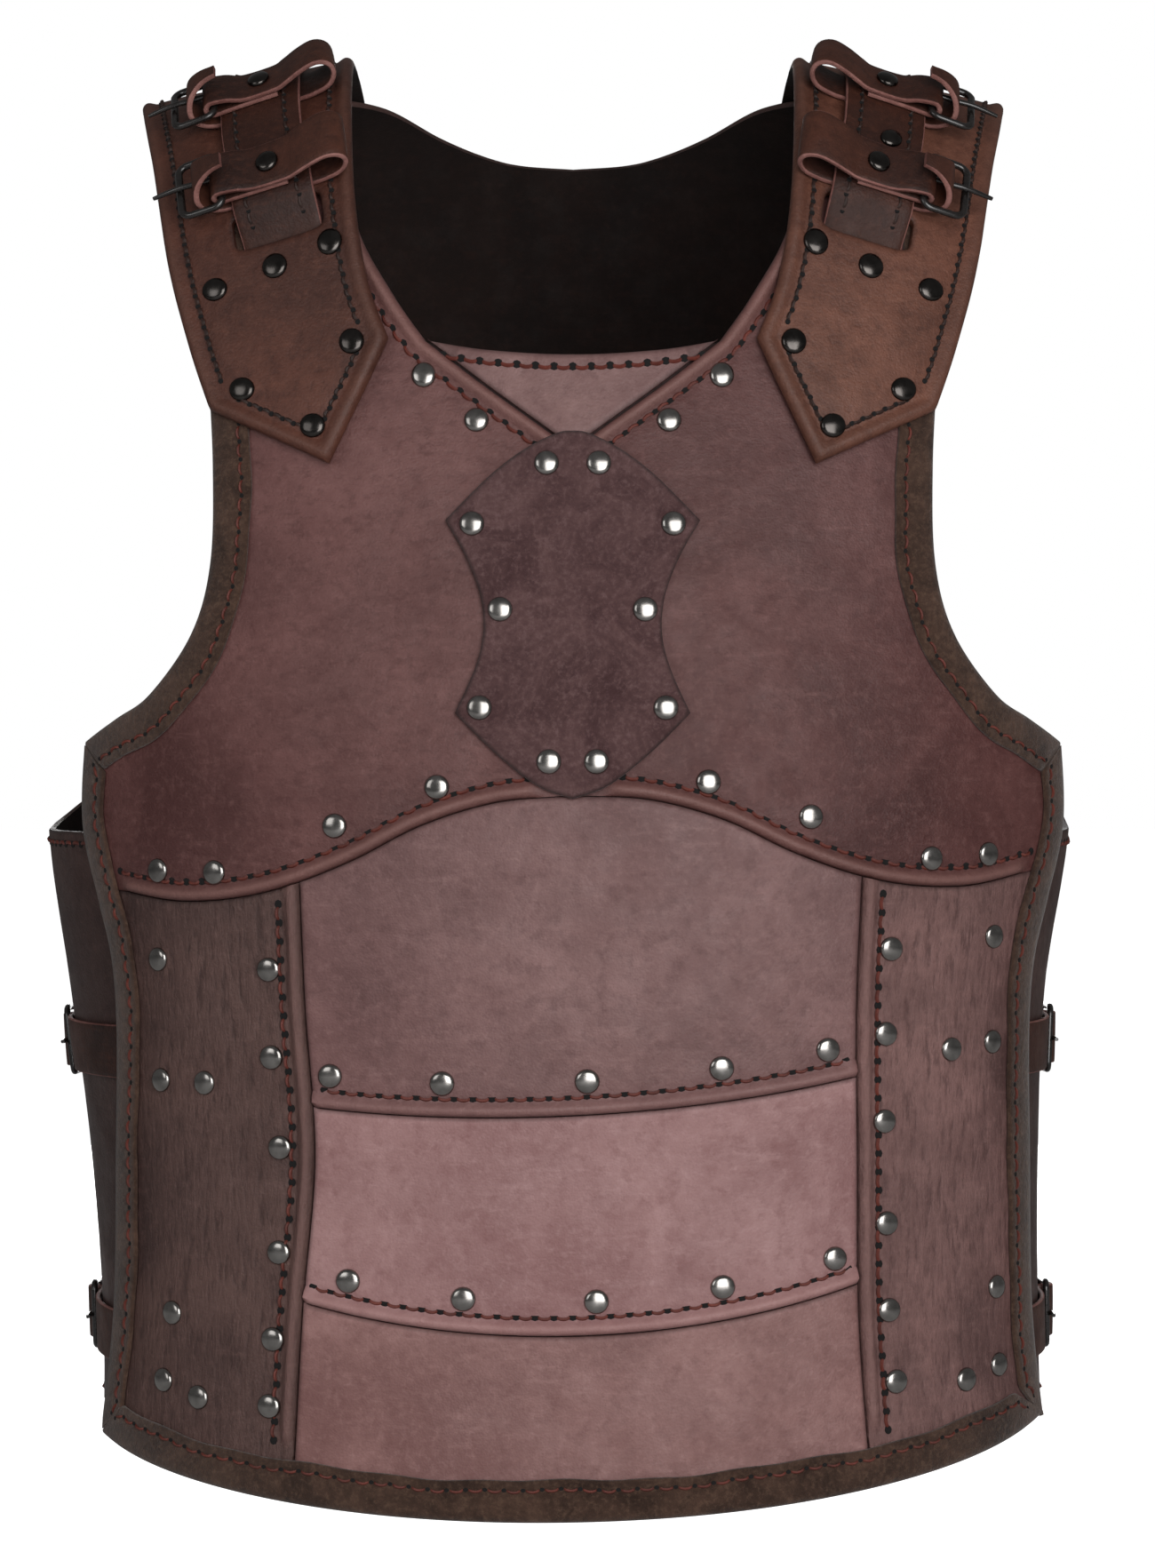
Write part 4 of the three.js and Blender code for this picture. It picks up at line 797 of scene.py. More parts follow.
# ------------------------------------------------------------------ side panels
# Two upright panels from the chest to the hem. The inner edge of each is turned over a cord
# and laps over the ends of the bands. Their belly leather is drawn into fine upright wrinkles.
BINDING_WIDTH = 14
SIDE_SEAM = 8.2
SIDE_RIVETS = {
    -1: [(-118, 418), (-117, 452), (-147, 463), (-113.5, 487), (-114, 528), (-116.5, 562), (-118, 588),
         (-150, 587), (-168, 582), (-170, 415), (-169.5, 463), (-163.5, 555)],
    1: [(124, 410), (122, 443), (152, 450), (121.5, 477), (122.5, 517), (123.5, 551), (126.5, 579),
        (159.5, 581), (178, 577), (173, 406), (174, 448), (177, 546)],
}
# the left panel's colours are darker than the right's: painted shade
SIDE_TONES = {-1: ("#35211e", "#59403a", "#7c5f59"), 1: ("#4a302e", "#805d59", "#9c7772")}
SIDES = (("left", -1), ("right", 1))
for word, side in SIDES:
    start, foot = side_corner(arch, side), side_corner(hem, side)
    inner = respaced(upright(arch, hem, side))
    inner[0, 1] += TUCK
    outer = side_whole(side)
    outer = outer[outer[:, 1] > arch(outer[:, 0]) + 1.2]
    top_run = edge_line(arch, start, outer[0, 0], TUCK)
    foot_run = edge_line(hem, foot, outer[-1, 0])
    side_outline = outline_of(inner, foot_run, np.vstack([outer[::-1], top_run[-1:]]), top_run[::-1])
    leather = oiled_leather(f"side panel leather {word}", *SIDE_TONES[side], "#84615c",
                            wrinkle=(2.1, 2.1, 0.5), wrinkle_depth=1.0, wrinkle_shade=0.32)

    def side_fade(a, b):
        """The roll dies out under the hem's binding."""
        return ease((hem(a) - b - BINDING_WIDTH - 2) / 9)

    folds = [(side * run, down, 88 * side, 45, 2.2, high) for run, down, high in (
        (131, 430, -0.3), (139, 480, 0.3), (147, 520, -0.35), (156, 440, 0.3), (163, 500, -0.3),
        (171, 470, 0.3), (135, 560, 0.3), (150, 570, -0.25))]
    # soft patches of dyeing and painted shade, darker towards the outer side
    patches = [(side * 150, 470, 25, 90, 0.2), (side * 190, 500, 25, 200, -0.35)]
    side_height = panel(f"side_panel_{word}", side_outline, leather, rolls=[inner], fade=side_fade,
                        relief=creases(folds), tone=soft_patches(patches))
    rows = np.linspace(arch(start) + 5, hem(foot) - BINDING_WIDTH - 4, 60)
    sewn = np.column_stack([side_start(rows, side) + side * SIDE_SEAM, rows])
    stitching(f"side_panel_{word}_stitches", on_front, sewn, side_height)
    rivets(f"side_panel_{word}_rivets", on_front, SIDE_RIVETS[side], side_height)

# ------------------------------------------------------------------ chest
# One wide hide from the shoulders to the arched lower edge. The V of the neck and the arch are
# turned over a cord, sewn and riveted. It is darker towards the arms and the arch: dyeing and painted shade.
def side_to(edge, side):
    """The side edge down to where another edge meets it."""
    line = side_whole(side)
    return line[line[:, 1] < edge(line[:, 0]) - 1.2]


arch_run = edge_line(arch, side_to(arch, -1)[-1, 0] + 0.3, side_to(arch, 1)[-1, 0] - 0.3)
neck_and_v = np.vstack([along_neck[:-1], along_v])
v_foot = np.array([V_FOOT, (-V_FOOT[0], V_FOOT[1])], float)
chest_outline = outline_of(
    straight((-96, SHOULDER_END), (-150, SHOULDER_END)), mirrored(along_armhole),
    np.vstack([side_to(arch, -1), arch_run[:1]]), arch_run,
    np.vstack([arch_run[-1:], side_to(arch, 1)[::-1]]), along_armhole[::-1],
    straight((150, SHOULDER_END), (96, SHOULDER_END)), neck_and_v, v_foot, mirrored(neck_and_v)[::-1])
CHEST_RIVETS = [(168, 377), (141, 378), (91, 361), (51.5, 347)]
V_RIVETS = [(57.5, 187.5), (37, 205.5)]
ARCH_SEAM = 7.6


def chest_fade(a, b):
    """The rolls die out under the medallion and under the side bindings."""
    return ease((np.abs(a) - 10) / 9) * ease((192 - np.abs(a)) / 9) + (b < 230) * ease((19 - np.abs(a)) / 9)


chest_leather = oiled_leather("chest leather", "#43211f", "#653f3c", "#86605c", "#8c665f",
                              wrinkle=(1, 1, 1.7), wrinkle_depth=0.45)
CHEST_FOLDS = [
    # run, down, turn, length, breadth, height
    (100, 292, -20, 32, 2.6, -0.4), (108, 300, -14, 28, 2.2, 0.3), (118, 285, -30, 24, 2.4, -0.35),
    (85, 250, -35, 40, 6, 0.35), (125, 312, -12, 30, 2.6, -0.35), (-95, 270, 30, 45, 7, -0.4),
    (-120, 305, 15, 35, 4, 0.35), (-75, 220, 40, 40, 8, 0.3), (-135, 255, 75, 30, 5, -0.3),
    (140, 345, 10, 25, 4, 0.3), (-150, 345, -10, 25, 5, -0.3)]
chest_height = panel(
    "chest", chest_outline, chest_leather, rolls=[neck_and_v, mirrored(neck_and_v), arch_run],
    fade=chest_fade, relief=creases(CHEST_FOLDS),
    tone=soft_patches([(-60, 215, 45, 50, 0.45), (70, 220, 50, 60, 0.05), (-165, 350, 60, 35, -0.28),
                       (158, 342, 85, 55, -1.25), (-85, 300, 40, 25, 0.25), (60, 300, 40, 25, 0.1)]))


def offset(line, by):
    """A line moved sideways, to its left as it runs for a positive distance."""
    return line + left_of(unit(np.gradient(line, axis=0))) * by


for word, side in SIDES:
    sewn = respaced(offset(neck_and_v, -ROLL_SEAM)) * [side, 1]
    stitching(f"neck_stitches_{word}", on_front, sewn[20:-2], chest_height)
arch_sewn = edge_line(arch, arch_run[0, 0] + BINDING_WIDTH + 2, arch_run[-1, 0] - BINDING_WIDTH - 2,
                      -ARCH_SEAM)
stitching("arch_stitches", on_front, arch_sewn, chest_height)
chest_rivets = [(a * side, b - LEAN * a * side) for side in (-1, 1) for a, b in CHEST_RIVETS]
chest_rivets += [(a * side, b) for side in (-1, 1) for a, b in V_RIVETS]
rivets("chest_rivets", on_front, chest_rivets, chest_height)

# ------------------------------------------------------------------ medallion
# A shield of chrome tanned suede, cut with a swivel knife, rough side out, and held by ten
# rivets over the place where the edges of the chest meet.
MEDALLION_LEATHER = 2.2
MEDALLION_AT = PANEL_TOP + PLY_GAP
MEDALLION = [(0, 210.5), (6, 211.3), (18, 217.5), (31.5, 228), (48.5, 245.5), (40.5, 260), (35, 275),
             (33.8, 289), (37, 303), (44.5, 320), (29.5, 335), (13.5, 347.5), (0, 352.5)]
MEDALLION_POINTS = (4, 9)     # the corners of its outline, which stay sharp
MEDALLION_RIVETS = [(10, 223.3), (38.3, 247), (27.5, 280.3), (35.2, 318), (9, 338.5)]


def suede(name, deep, middle, pale, nap_mm=0.5):
    """Suede: the split side of a hide, sanded to a short nap that soaks up light and is combed
    lighter and darker where it has been brushed."""
    material = fresh(name)
    place = own_place(material)
    tuft = noise(material, place, 2.2, 5, 0.75)
    colour = mixed(material, spread(material, noise(material, place, 22, 6, 0.75, 0.8), 0.35, 0.68),
                   deep, middle)
    colour = mixed(material, spread(material, tuft, 0.5, 0.78, 0, 0.5), colour, pale)
    colour = mixed(material, spread(material, tuft, 0.5, 0.25, 0, 0.5), colour, deep)
    colour = mixed(material, spread(material, field(material, "edge"), 0, 1.5, 0.75, 0), colour, "#1c110f")
    nap = bumped(material, tuft, 0.6, 0.9)
    return shaded(material, {
        "Base Color": colour, "Roughness": 0.95, "Specular IOR Level": 0.2, "Sheen Weight": 0.25,
        "Sheen Roughness": 0.5,
        "Normal": bumped(material, noise(material, place, nap_mm, 2, 0.6), 0.5, 0.3, nap)})


corners = [0, *MEDALLION_POINTS, len(MEDALLION) - 1]
half = np.vstack([curve(MEDALLION[a:b + 1], 2)[:-1] for a, b in zip(corners, corners[1:])])
medallion_outline = np.vstack([half, [MEDALLION[-1]], mirrored(half[1:])[::-1]])
medallion_suede = suede("medallion suede", "#40292a", "#624847", "#826767")
medallion_hide, medallion_height = cut_hide(
    "medallion_hide", on_front, medallion_outline, MEDALLION_AT, MEDALLION_AT + MEDALLION_LEATHER,
    medallion_suede, "suede", ["medallion"], step=4)
declare(medallion_hide)
rivets("medallion_rivets", on_front, [(a * side, b) for side in (-1, 1) for a, b in MEDALLION_RIVETS],
       medallion_height)

# ------------------------------------------------------------------ binding
# Dark suede strips 14 mm wide, folded over the raw outer edges and sewn through all layers
# close to their inner edge. They are mitred where two of them meet.
BINDING = 1.6
OVER_PANEL = PANEL_TOP + PLY_GAP
MITRE_GAP = 0.4
BINDING_SEAM = 3.6       # from the strip's inner edge
SEWN_WIDTH = 8           # a strip that the mitre leaves narrower isn't sewn
binding_suede = suede("binding suede", "#2b1c15", "#503a2f", "#735a4a", nap_mm=0.6)


def binding_section(width):
    """The folded strip's section as inset from the edge and height, from its inner edge outwards."""
    top = OVER_PANEL + BINDING
    share = min(width / BINDING_WIDTH, 1)
    return np.array([
        (width, OVER_PANEL), (width, top - 0.7), (width - 0.5 * share, top - 0.1),
        (width * 0.78, top - 0.25 * share), (width * 0.68, top - 0.1), (width * 0.45, top + 0.25 * share),
        (width * 0.2, top + 0.3 * share), (0.6 * share, top + 0.1), (-1.1, top - 0.35), (-1.9, top - 1.5),
        (-2.05, top - 3.4), (-2.0, 0.9), (-1.5, -0.1), (-0.45, -0.2), (-0.45, OVER_PANEL)])


def heading(line, i, j):
    return unit(line[j] - line[i])


def mitre(first, second):
    """How fast the mitre opens where one edge ends and the next starts: the half turn's cotangent."""
    return 1 / math.tan(math.acos(min(1.0, float(heading(first, -2, -1) @ heading(second, 0, 1)))) / 2)


hem_line = edge_line(hem, left_foot, right_foot)
bound_edges = [
    ("binding_armhole_left", mirrored(along_armhole)), ("binding_side_left", side_whole(-1)),
    ("binding_hem", hem_line), ("binding_side_right", side_whole(1)[::-1]),
    ("binding_armhole_right", along_armhole[::-1])]
for which, (name, edge) in enumerate(bound_edges):
    run = run_along(edge)
    inward = -left_of(unit(np.gradient(edge, axis=0)))
    middle = edge.copy()
    widths = BINDING_WIDTH + 0.5 * np.sin(run * 0.07) + 0.3 * np.sin(run * 0.19)
    if which > 0:
        opening = mitre(bound_edges[which - 1][1], edge)
        widths = np.minimum(widths, np.maximum(run, MITRE_GAP) * opening - MITRE_GAP)
        middle[0] += heading(edge, 0, 1) * MITRE_GAP
    if which < len(bound_edges) - 1:
        opening = mitre(edge, bound_edges[which + 1][1])
        widths = np.minimum(widths, np.maximum(run[-1] - run, MITRE_GAP) * opening - MITRE_GAP)
        middle[-1] -= heading(edge, -2, -1) * MITRE_GAP
    widths = np.maximum(widths, 0.1)
    sections = np.array([binding_section(width) for width in widths])
    rows = middle[:, None] + inward[:, None] * sections[..., :1]
    points = lifted(on_front, *rows.reshape(-1, 2).T, sections[..., 1].ravel())
    strip = mesh_piece(name + "_strip", points, tube_faces(*sections.shape[:2]), [binding_suede], "suede",
                       [name], sharp=60, fields={"edge": np.full(len(points), NOT_NEAR)})
    sewn = (edge + inward * (widths - BINDING_SEAM)[:, None])[widths > SEWN_WIDTH]
    stitching(name + "_stitches", on_front, sewn, as_function(OVER_PANEL + BINDING - 0.15), slot="suede",
              thick=0.55, hole=0.8)

# ------------------------------------------------------------------ back panel
# A single 3 mm hide across the shoulder blades, round the ribs and forward under the front's
# side edges. Its flesh side is matt and dark brown, deepened to near black as painted shade, and shows inside
# through the neck.
BACK_LEATHER = 3.0
BACK_SEAM = 5.0
FLAP_END_Y = -60
BACK_NECK = [(94, SHOULDER_END), (80, 38), (57, 66), (30, 85), (0, 94)]
BACK_ARMHOLE = [(152, SHOULDER_END), (148, 90), (143, 160), (142, 220), (146, 262), (160, 300), (186, 330),
                (220, 352), (258, 364)]
FLAP_TOP, FLAP_FOOT = 366, 604


def run_at(down, side, y):
    """The run round the back at which it has come forward to a given y."""
    ring = on_back(side * RUNS[1:], np.full(len(RUNS) - 1, float(down)))
    return float(np.interp(-y, -ring[:, 1], RUNS[1:]))


def flap_side(side):
    """The back's armhole with the flap's top edge, and the flap's front edge."""
    rows = np.linspace(FLAP_TOP, FLAP_FOOT, 110)
    edge = np.array([(side * run_at(b, side, FLAP_END_Y), b) for b in rows])
    armhole = curve([*BACK_ARMHOLE, (abs(edge[0, 0]), FLAP_TOP)]) * [side, 1]
    return armhole, edge


def back_hem(run):
    return 612 - 0.00012 * run**2


back_sides = {side: flap_side(side) for side in (-1, 1)}
back_foot = edge_line(back_hem, -258, 258)
back_neck = curve(BACK_NECK)
back_outline = outline_of(
    straight((-94, SHOULDER_END), (-152, SHOULDER_END)), back_sides[-1][0], back_sides[-1][1],
    np.vstack([back_sides[-1][1][-1:], back_foot, back_sides[1][1][-1:]]), back_sides[1][1][::-1],
    back_sides[1][0][::-1], straight((152, SHOULDER_END), (94, SHOULDER_END)), back_neck,
    mirrored(back_neck)[::-1])
back_leather = oiled_leather("back leather", "#2a1816", "#46312d", "#664b44", "#664b44", wrinkle_depth=0.4)
# the flesh side is dark brown deepened to near black: painted shade for the inside
flesh_and_shade_leather = oiled_leather("flesh side", "#0f0503", "#1c0d08", "#2e1811", "#2e1811", roughness=0.95)
BACK_FOLDS = [
    # run, down, turn, length, breadth, height
    (-60, 330, 12, 70, 9, -0.5), (55, 350, -10, 80, 8, 0.5), (0, 430, 3, 90, 10, -0.5),
    (120, 470, 60, 50, 7, 0.4),
    (-125, 460, -65, 50, 7, -0.4), (100, 200, 35, 50, 9, -0.4), (-95, 215, -38, 50, 8, 0.4),
    (225, 470, 88, 60, 5, -0.4), (-225, 480, -86, 60, 5, 0.4), (40, 540, 14, 60, 8, -0.4)]
# its soft patches are dyeing and painted shade: lighter high in the middle, darker at the foot
back_hide, back_height = cut_hide("back_hide", on_back, back_outline, 0, BACK_LEATHER, back_leather,
                                  "back_leather", ["back_panel"], step=8, relief=creases(BACK_FOLDS),
                                  flesh=flesh_and_shade_leather,
                                  tone=soft_patches([(0, 260, 90, 110, 0.4), (0, 560, 200, 40, -0.2)]))
declare(back_hide)
for word, side in SIDES:
    flap_top = curve([*BACK_ARMHOLE, (abs(back_sides[side][1][0, 0]), FLAP_TOP)])
    seam = respaced(offset(flap_top, BACK_SEAM), 2)[6:-3] * [side, 1]
    stitching(f"back_armhole_stitches_{word}", on_back, seam, back_height, slot="back_leather")
stitching("back_hem_stitches", on_back, edge_line(back_hem, -250, 250, -BACK_SEAM), back_height,
          slot="back_leather")

# ------------------------------------------------------------------ shoulder plates
# Two 3 mm plates wet formed over the shoulders and carried by the back hide and the chest.
# Their edge is beaded and stitched all round, and each has a slot that its strap dives into.
PLATE_LEATHER = 3.0
STRAP = 2.1
PLATE_FRONT = OVER_PANEL + STRAP + 0.7
PLATE_BACK = BACK_LEATHER + 2.4 * PLY_GAP
PLATE_ROLL = 1.0
PLATE_SEAM = 8.2
# the left plate's colours are darker than the right's: painted shade
PLATE_TONES = {-1: ("#2b110b", "#4f2a1f", "#754a3b"), 1: ("#3a1c13", "#6b4132", "#93624f")}
INNER_FRONT, TIP, OUTER_FRONT = (70.5, 174.5), (92.5, 223), (138.5, 200.5)
OUTER_BACK, INNER_BACK = (157, -112), (84, -116)
PLATE_INNER = [INNER_BACK, (87, -60), (89, 0), (87.5, 60), (84.5, 118), (79, 152), INNER_FRONT]
PLATE_OUTER = [OUTER_FRONT, (147, 175), (156, 140), (165, 88), (174, 40), (178, 0), (174, -45), OUTER_BACK]
PLATE_RIVETS = [(93, 138.5), (114, 145), (137, 151.5), (84, 176), (125.5, 193), (98.3, 208.5), (98, -102),
                (143, -100)]
SLOT_ACROSS, SLOT_DOWN, SLOT_LENGTH, SLOT_WIDTH, SLOT_TURN = 113.5, 127, 35, 16, 0.16


def plate_under(down):
    return PLATE_BACK + (PLATE_FRONT - PLATE_BACK) * ease((down + 45) / 65)


def plate_top(down):
    return plate_under(down) + PLATE_LEATHER


slot_cos, slot_sin = np.cos(whole_turn(72)), np.sin(whole_turn(72))
slot_a = np.sign(slot_cos) * np.abs(slot_cos) ** 0.35 * SLOT_LENGTH / 2
slot_b = np.sign(slot_sin) * np.abs(slot_sin) ** 0.35 * SLOT_WIDTH / 2
slot_edge = np.column_stack([SLOT_ACROSS + slot_a * math.cos(SLOT_TURN) - slot_b * math.sin(SLOT_TURN),
                             SLOT_DOWN + slot_a * math.sin(SLOT_TURN) + slot_b * math.cos(SLOT_TURN)])
plate_edges = [curve(PLATE_INNER), straight(INNER_FRONT, TIP), straight(TIP, OUTER_FRONT), curve(PLATE_OUTER),
               curve([OUTER_BACK, (120, -124), INNER_BACK])]
plate_outline = outline_of(*plate_edges)
plate_heights = {}
for word, side in SIDES:
    outline = plate_outline * [side, 1]
    folds = [(side * a, b, turn * side, long, broad, high) for a, b, turn, long, broad, high in (
        (105, 100, 8, 20, 5, 0.3), (140, 60, 80, 40, 7, -0.3), (150, 110, 70, 30, 5, 0.3),
        (100, 165, 30, 18, 4, -0.25), (120, -60, 10, 40, 8, -0.35), (155, 10, 85, 50, 6, 0.3),
        (105, 195, 20, 18, 4, 0.25))]
    # soft patches of dyeing and painted shade
    patches = [(side * 130, 100, 30, 60, 0.2), (side * 100, 190, 30, 25, 0.15),
               (side * 130, 0, 60, 30, -0.2)]
    leather = oiled_leather(f"shoulder plate leather {word}", *PLATE_TONES[side], "#5d3d32",
                            wrinkle_depth=0.4)
    hide, plate_heights[side] = cut_hide(
        f"shoulder_plate_{word}_hide", on_shoulder, outline, lambda x, down: plate_under(down),
        lambda x, down: plate_top(down), leather, "plate_leather", [f"shoulder_plate_{word}"], step=6,
        rolls=[np.vstack([outline, outline[:1]])], roll=PLATE_ROLL, holes=[slot_edge * [side, 1]],
        relief=creases(folds), flesh=flesh_and_shade_leather, tone=soft_patches(patches))
    declare(hide)
    for number, line in enumerate(plate_edges):
        trimmed = offset(line, -PLATE_SEAM)[4:-4] * [side, 1]
        stitching(f"shoulder_plate_{word}_stitches_{number}", on_shoulder, trimmed, plate_heights[side],
                  slot="plate_leather", pitch=4.7, thick=0.7, hole=1.0, shift=0.7, thread=black_thread)
    rivets(f"shoulder_plate_{word}_rivets", on_shoulder, [(a * side, b) for a, b in PLATE_RIVETS],
           plate_heights[side], metal=blackened_steel)

# ------------------------------------------------------------------ shoulder straps
# A 31 mm strap lies along each plate under the cross belts and dives through the plate's slot.
# It is 2.1 mm bridle leather with pale raw cut edges, stitched along both sides.
STRAP_WIDTH = 31
BELT = 2.0
STRAP_LOW = PLY_GAP + STRAP / 2
STRAP_HIGH = STRAP_LOW + PLY_GAP + BELT + 0.3
STRAP_TOP = STRAP_HIGH + STRAP / 2
STRAP_END = -PLATE_LEATHER - PLY_GAP - STRAP / 2
STRAP_MIDDLE = [[-104, 120], [-60, 124], [0, 126], [50, 123], [85, 120], [110, 115.5], [130, 112.5],
                [162, 108]]
STRAP_RUN = [(-104, STRAP_LOW), (-70, STRAP_LOW), (-10, STRAP_LOW), (14, STRAP_LOW), (30, STRAP_LOW + 0.7),
             (42, STRAP_HIGH), (85, STRAP_HIGH), (108, STRAP_HIGH), (118.5, STRAP_HIGH - 0.3), (125, 0.6),
             (133, -4.2), (141, STRAP_END), (162, STRAP_END)]
strap_leather = oiled_leather("strap leather", "#220d07", "#3c1d13", "#633828", "#633828", wrinkle_depth=0.4,
                              roughness=0.58)
RAW_SIDES = [0] * 6 + [1] * 3 + [0] * 6 + [1] * 3     # round a strap: face, edge, back, edge
cut_edge = oiled_leather("cut edge", "#5e3630", "#8a5c54", "#b08078", "#b08078", roughness=0.7)


def strap_piece(name, place, path, thickness, width, replaced, step=2.0, point=0):
    """A strap swept along a path of (along, height), with rounded, pale cut edges. When point is given,
    its first point millimetres narrow towards a point."""
    line = curve(path, step)
    ahead = unit(np.gradient(line, axis=0))
    half, lift = width / 2, thickness / 2
    columns = np.array([-half + 0.5, -half + 2.5, -half / 2, 0, half / 2, half - 2.5, half - 0.5])
    crown = np.array([-0.05, 0, 0.05, 0.08, 0.05, 0, -0.05])
    ring = np.vstack([
        np.column_stack([columns, lift + crown]), [(half, lift - 0.5), (half, 0.5 - lift)],
        np.column_stack([columns[::-1], np.full(7, -lift)]), [(-half, 0.5 - lift), (-half, lift - 0.5)]])
    run = np.linspace(0, 1, len(line))[:, None]
    across = ring[:, 0] + 0.25 * np.sin(run * 9 + half) * np.sign(ring[:, 0])
    if point:
        across = across * (0.3 + 0.7 * ease(run * step * len(line) / point))
    along = line[:, :1] - ahead[:, 1:] * ring[:, 1]
    high = line[:, 1:] + ahead[:, :1] * ring[:, 1]
    points = place(along.ravel(), across.ravel(), high.ravel())
    rub = np.clip(np.abs(np.gradient(ahead[:, 0])) * 2 + 0.3 + 0.3 * np.sin(run[:, 0] * 14), 0, 1)
    piece = mesh_piece(name, points, tube_faces(len(line), len(ring)), [strap_leather, cut_edge],
                       "strap_leather", replaced, [*RAW_SIDES * (len(line) - 1), 1, 1],
                       {"tone": np.repeat(rub, len(ring)), "edge": np.full(len(points), NOT_NEAR)})
    length = run_along(place(line[:, 0], np.zeros(len(line)), line[:, 1]))[-1]
    return piece


def strap_middle(down):
    """The x of a strap's middle line."""
    return smooth_rows(STRAP_MIDDLE, down)[..., 1]


def strap_place(side):
    """What places a strap: by the way down it, across it and above its plate."""
    def place(down, across, height):
        slanted = down + across * math.tan(SLOT_TURN) * ease((down - 95) / 25)
        return lifted(on_shoulder, side * (strap_middle(down) + across), slanted, plate_top(down) + height)
    return place


STRAP_SEAM = STRAP_WIDTH / 2 - 5.8
STRAP_RIVET = 4.2
course_of_strap = curve(STRAP_RUN, 1.0)


def strap_height(down, across):
    """The top of the strap above its plate."""
    return np.interp(down, *course_of_strap.T) + STRAP / 2 + 0.08


for word, side in SIDES:
    place = strap_place(side)
    strap_piece(f"shoulder_strap_{word}_hide", place, STRAP_RUN, STRAP, STRAP_WIDTH,
                [f"shoulder_strap_{word}"])
    for edge, seam_side in (("inner", -1), ("outer", 1)):
        seam = straight((-98, seam_side * STRAP_SEAM), (128, seam_side * STRAP_SEAM))
        stitching(f"shoulder_strap_{word}_stitches_{edge}", place, seam, strap_height,
                  slot="strap_leather", pitch=5.2, thick=0.55, hole=0.9, shift=0.7, thread=black_thread)
# only the right strap has a small rivet of its own
rivets("shoulder_strap_right_rivet", strap_place(1), [(91, 3)], strap_height, radius=STRAP_RIVET,
       metal=blackened_steel)

# ------------------------------------------------------------------ cross belts
# Two small belts hold each strap to its plate. Each goes round under the strap, is buckled with
# a painted wire buckle on top, and is riveted where it turns back.
BELT_WIDTH = 19
BELT_POINT = 22          # length of the free end's taper
WIRE = 1.4
FOLD = WIRE + 0.55 + BELT / 2
LAY = PLY_GAP + BELT / 2
BELT_TURN = 0.14
BELTS = [("lower", 108), ("upper", 62)]
BAR = (17, STRAP_TOP + PLY_GAP + BELT / 2 + FOLD)
FRAME_LENGTH, FRAME_WIDTH = 15, 24
UNDER_FOLD = BAR[1] - FOLD
OVER_FOLD = UNDER_FOLD + BELT + 0.35


def fold_around(middle, radius, start, end):
    """Part of a circle from one angle to another, in degrees."""
    return [(middle[0] + math.cos(t) * radius, middle[1] + math.sin(t) * radius)
            for t in np.radians(np.linspace(start, end, 7))]


BELT_PATH = [
    (13, 20.2), (18.5, 19.4), (23.4, 16.2), (25.8, 10.8), (24.6, 5.6), (20.5, 2.4), (14, LAY), (-14, LAY),
    (-20.5, 1.8), (-26.6, 3.6), (-29.6, 8), (-28.6, 12.6), (-24.2, 14.8), (-18, 13.4), (-11.5, 10.6),
    (-7, OVER_FOLD), (5, OVER_FOLD), (11.5, BAR[1] + FOLD - 1.1), *fold_around(BAR, FOLD, 90, -90),
    (11, UNDER_FOLD), (-7, UNDER_FOLD)]
BELT_PRONG = [(BAR[0] - WIRE, BAR[1] + 1.2), (BAR[0] + WIRE, BAR[1] + 1.4), (26, BAR[1] + 1.9),
              (BAR[0] + FRAME_LENGTH, BAR[1] + WIRE + 1.2), (41, BAR[1] + 2.2)]


def painted_wire():
    """Buckle wire, steel dipped in glossy black paint with a little dust and wear."""
    material = fresh("painted buckle wire")
    dust = noise(material, own_place(material), 3, 4)
    return shaded(material, {
        "Base Color": mixed(material, dust, "#080707", "#241f1d"), "Coat Weight": 0.4, "Coat Roughness": 0.15,
        "Roughness": spread(material, dust, 0, 1, 0.14, 0.42)})


wire_paint = painted_wire()
WIRE_SIDES = 10
WIRE_CORNER = 3.5


def wire_tube(name, place, path, radii, replaced, closed=False):
    """Wire bent along a path of (along, across, height), with a radius at every point of it."""
    path = np.asarray(path, float)
    around = np.roll(path, -1, axis=0) - np.roll(path, 1, axis=0)
    ahead = unit(around if closed else np.gradient(path, axis=0))
    aside = unit(np.cross(ahead, np.where(np.abs(ahead[:, 2:]) > 0.9, [[1.0, 0, 0]], [[0, 0, 1.0]])))
    above = np.cross(aside, ahead)
    turn = whole_turn(WIRE_SIDES)[:, None]
    radii = np.broadcast_to(radii, len(path))[:, None, None]
    ring = path[:, None] + radii * (aside[:, None] * np.cos(turn) + above[:, None] * np.sin(turn))
    return mesh_piece(name, place(*ring.reshape(-1, 3).T), tube_faces(len(path), WIRE_SIDES, closed=closed),
                      [wire_paint], "buckle_wire", replaced, sharp=60)


def wire_frame(name, place, bar, width, replaced):
    """A buckle's frame, a rectangle of wire with rounded corners that starts at its bar."""
    near, far = bar[0] + WIRE_CORNER, bar[0] + FRAME_LENGTH - WIRE_CORNER
    reach = width / 2 - WIRE_CORNER
    loop = []
    for quarter, (along, across) in enumerate([(far, reach), (near, reach), (near, -reach), (far, -reach)]):
        loop += [(along + math.cos(t) * WIRE_CORNER, across + math.sin(t) * WIRE_CORNER, bar[1])
                 for t in (quarter + np.linspace(0, 1, 7)) * math.pi / 2]
    return wire_tube(name, place, loop, WIRE, replaced, closed=True)


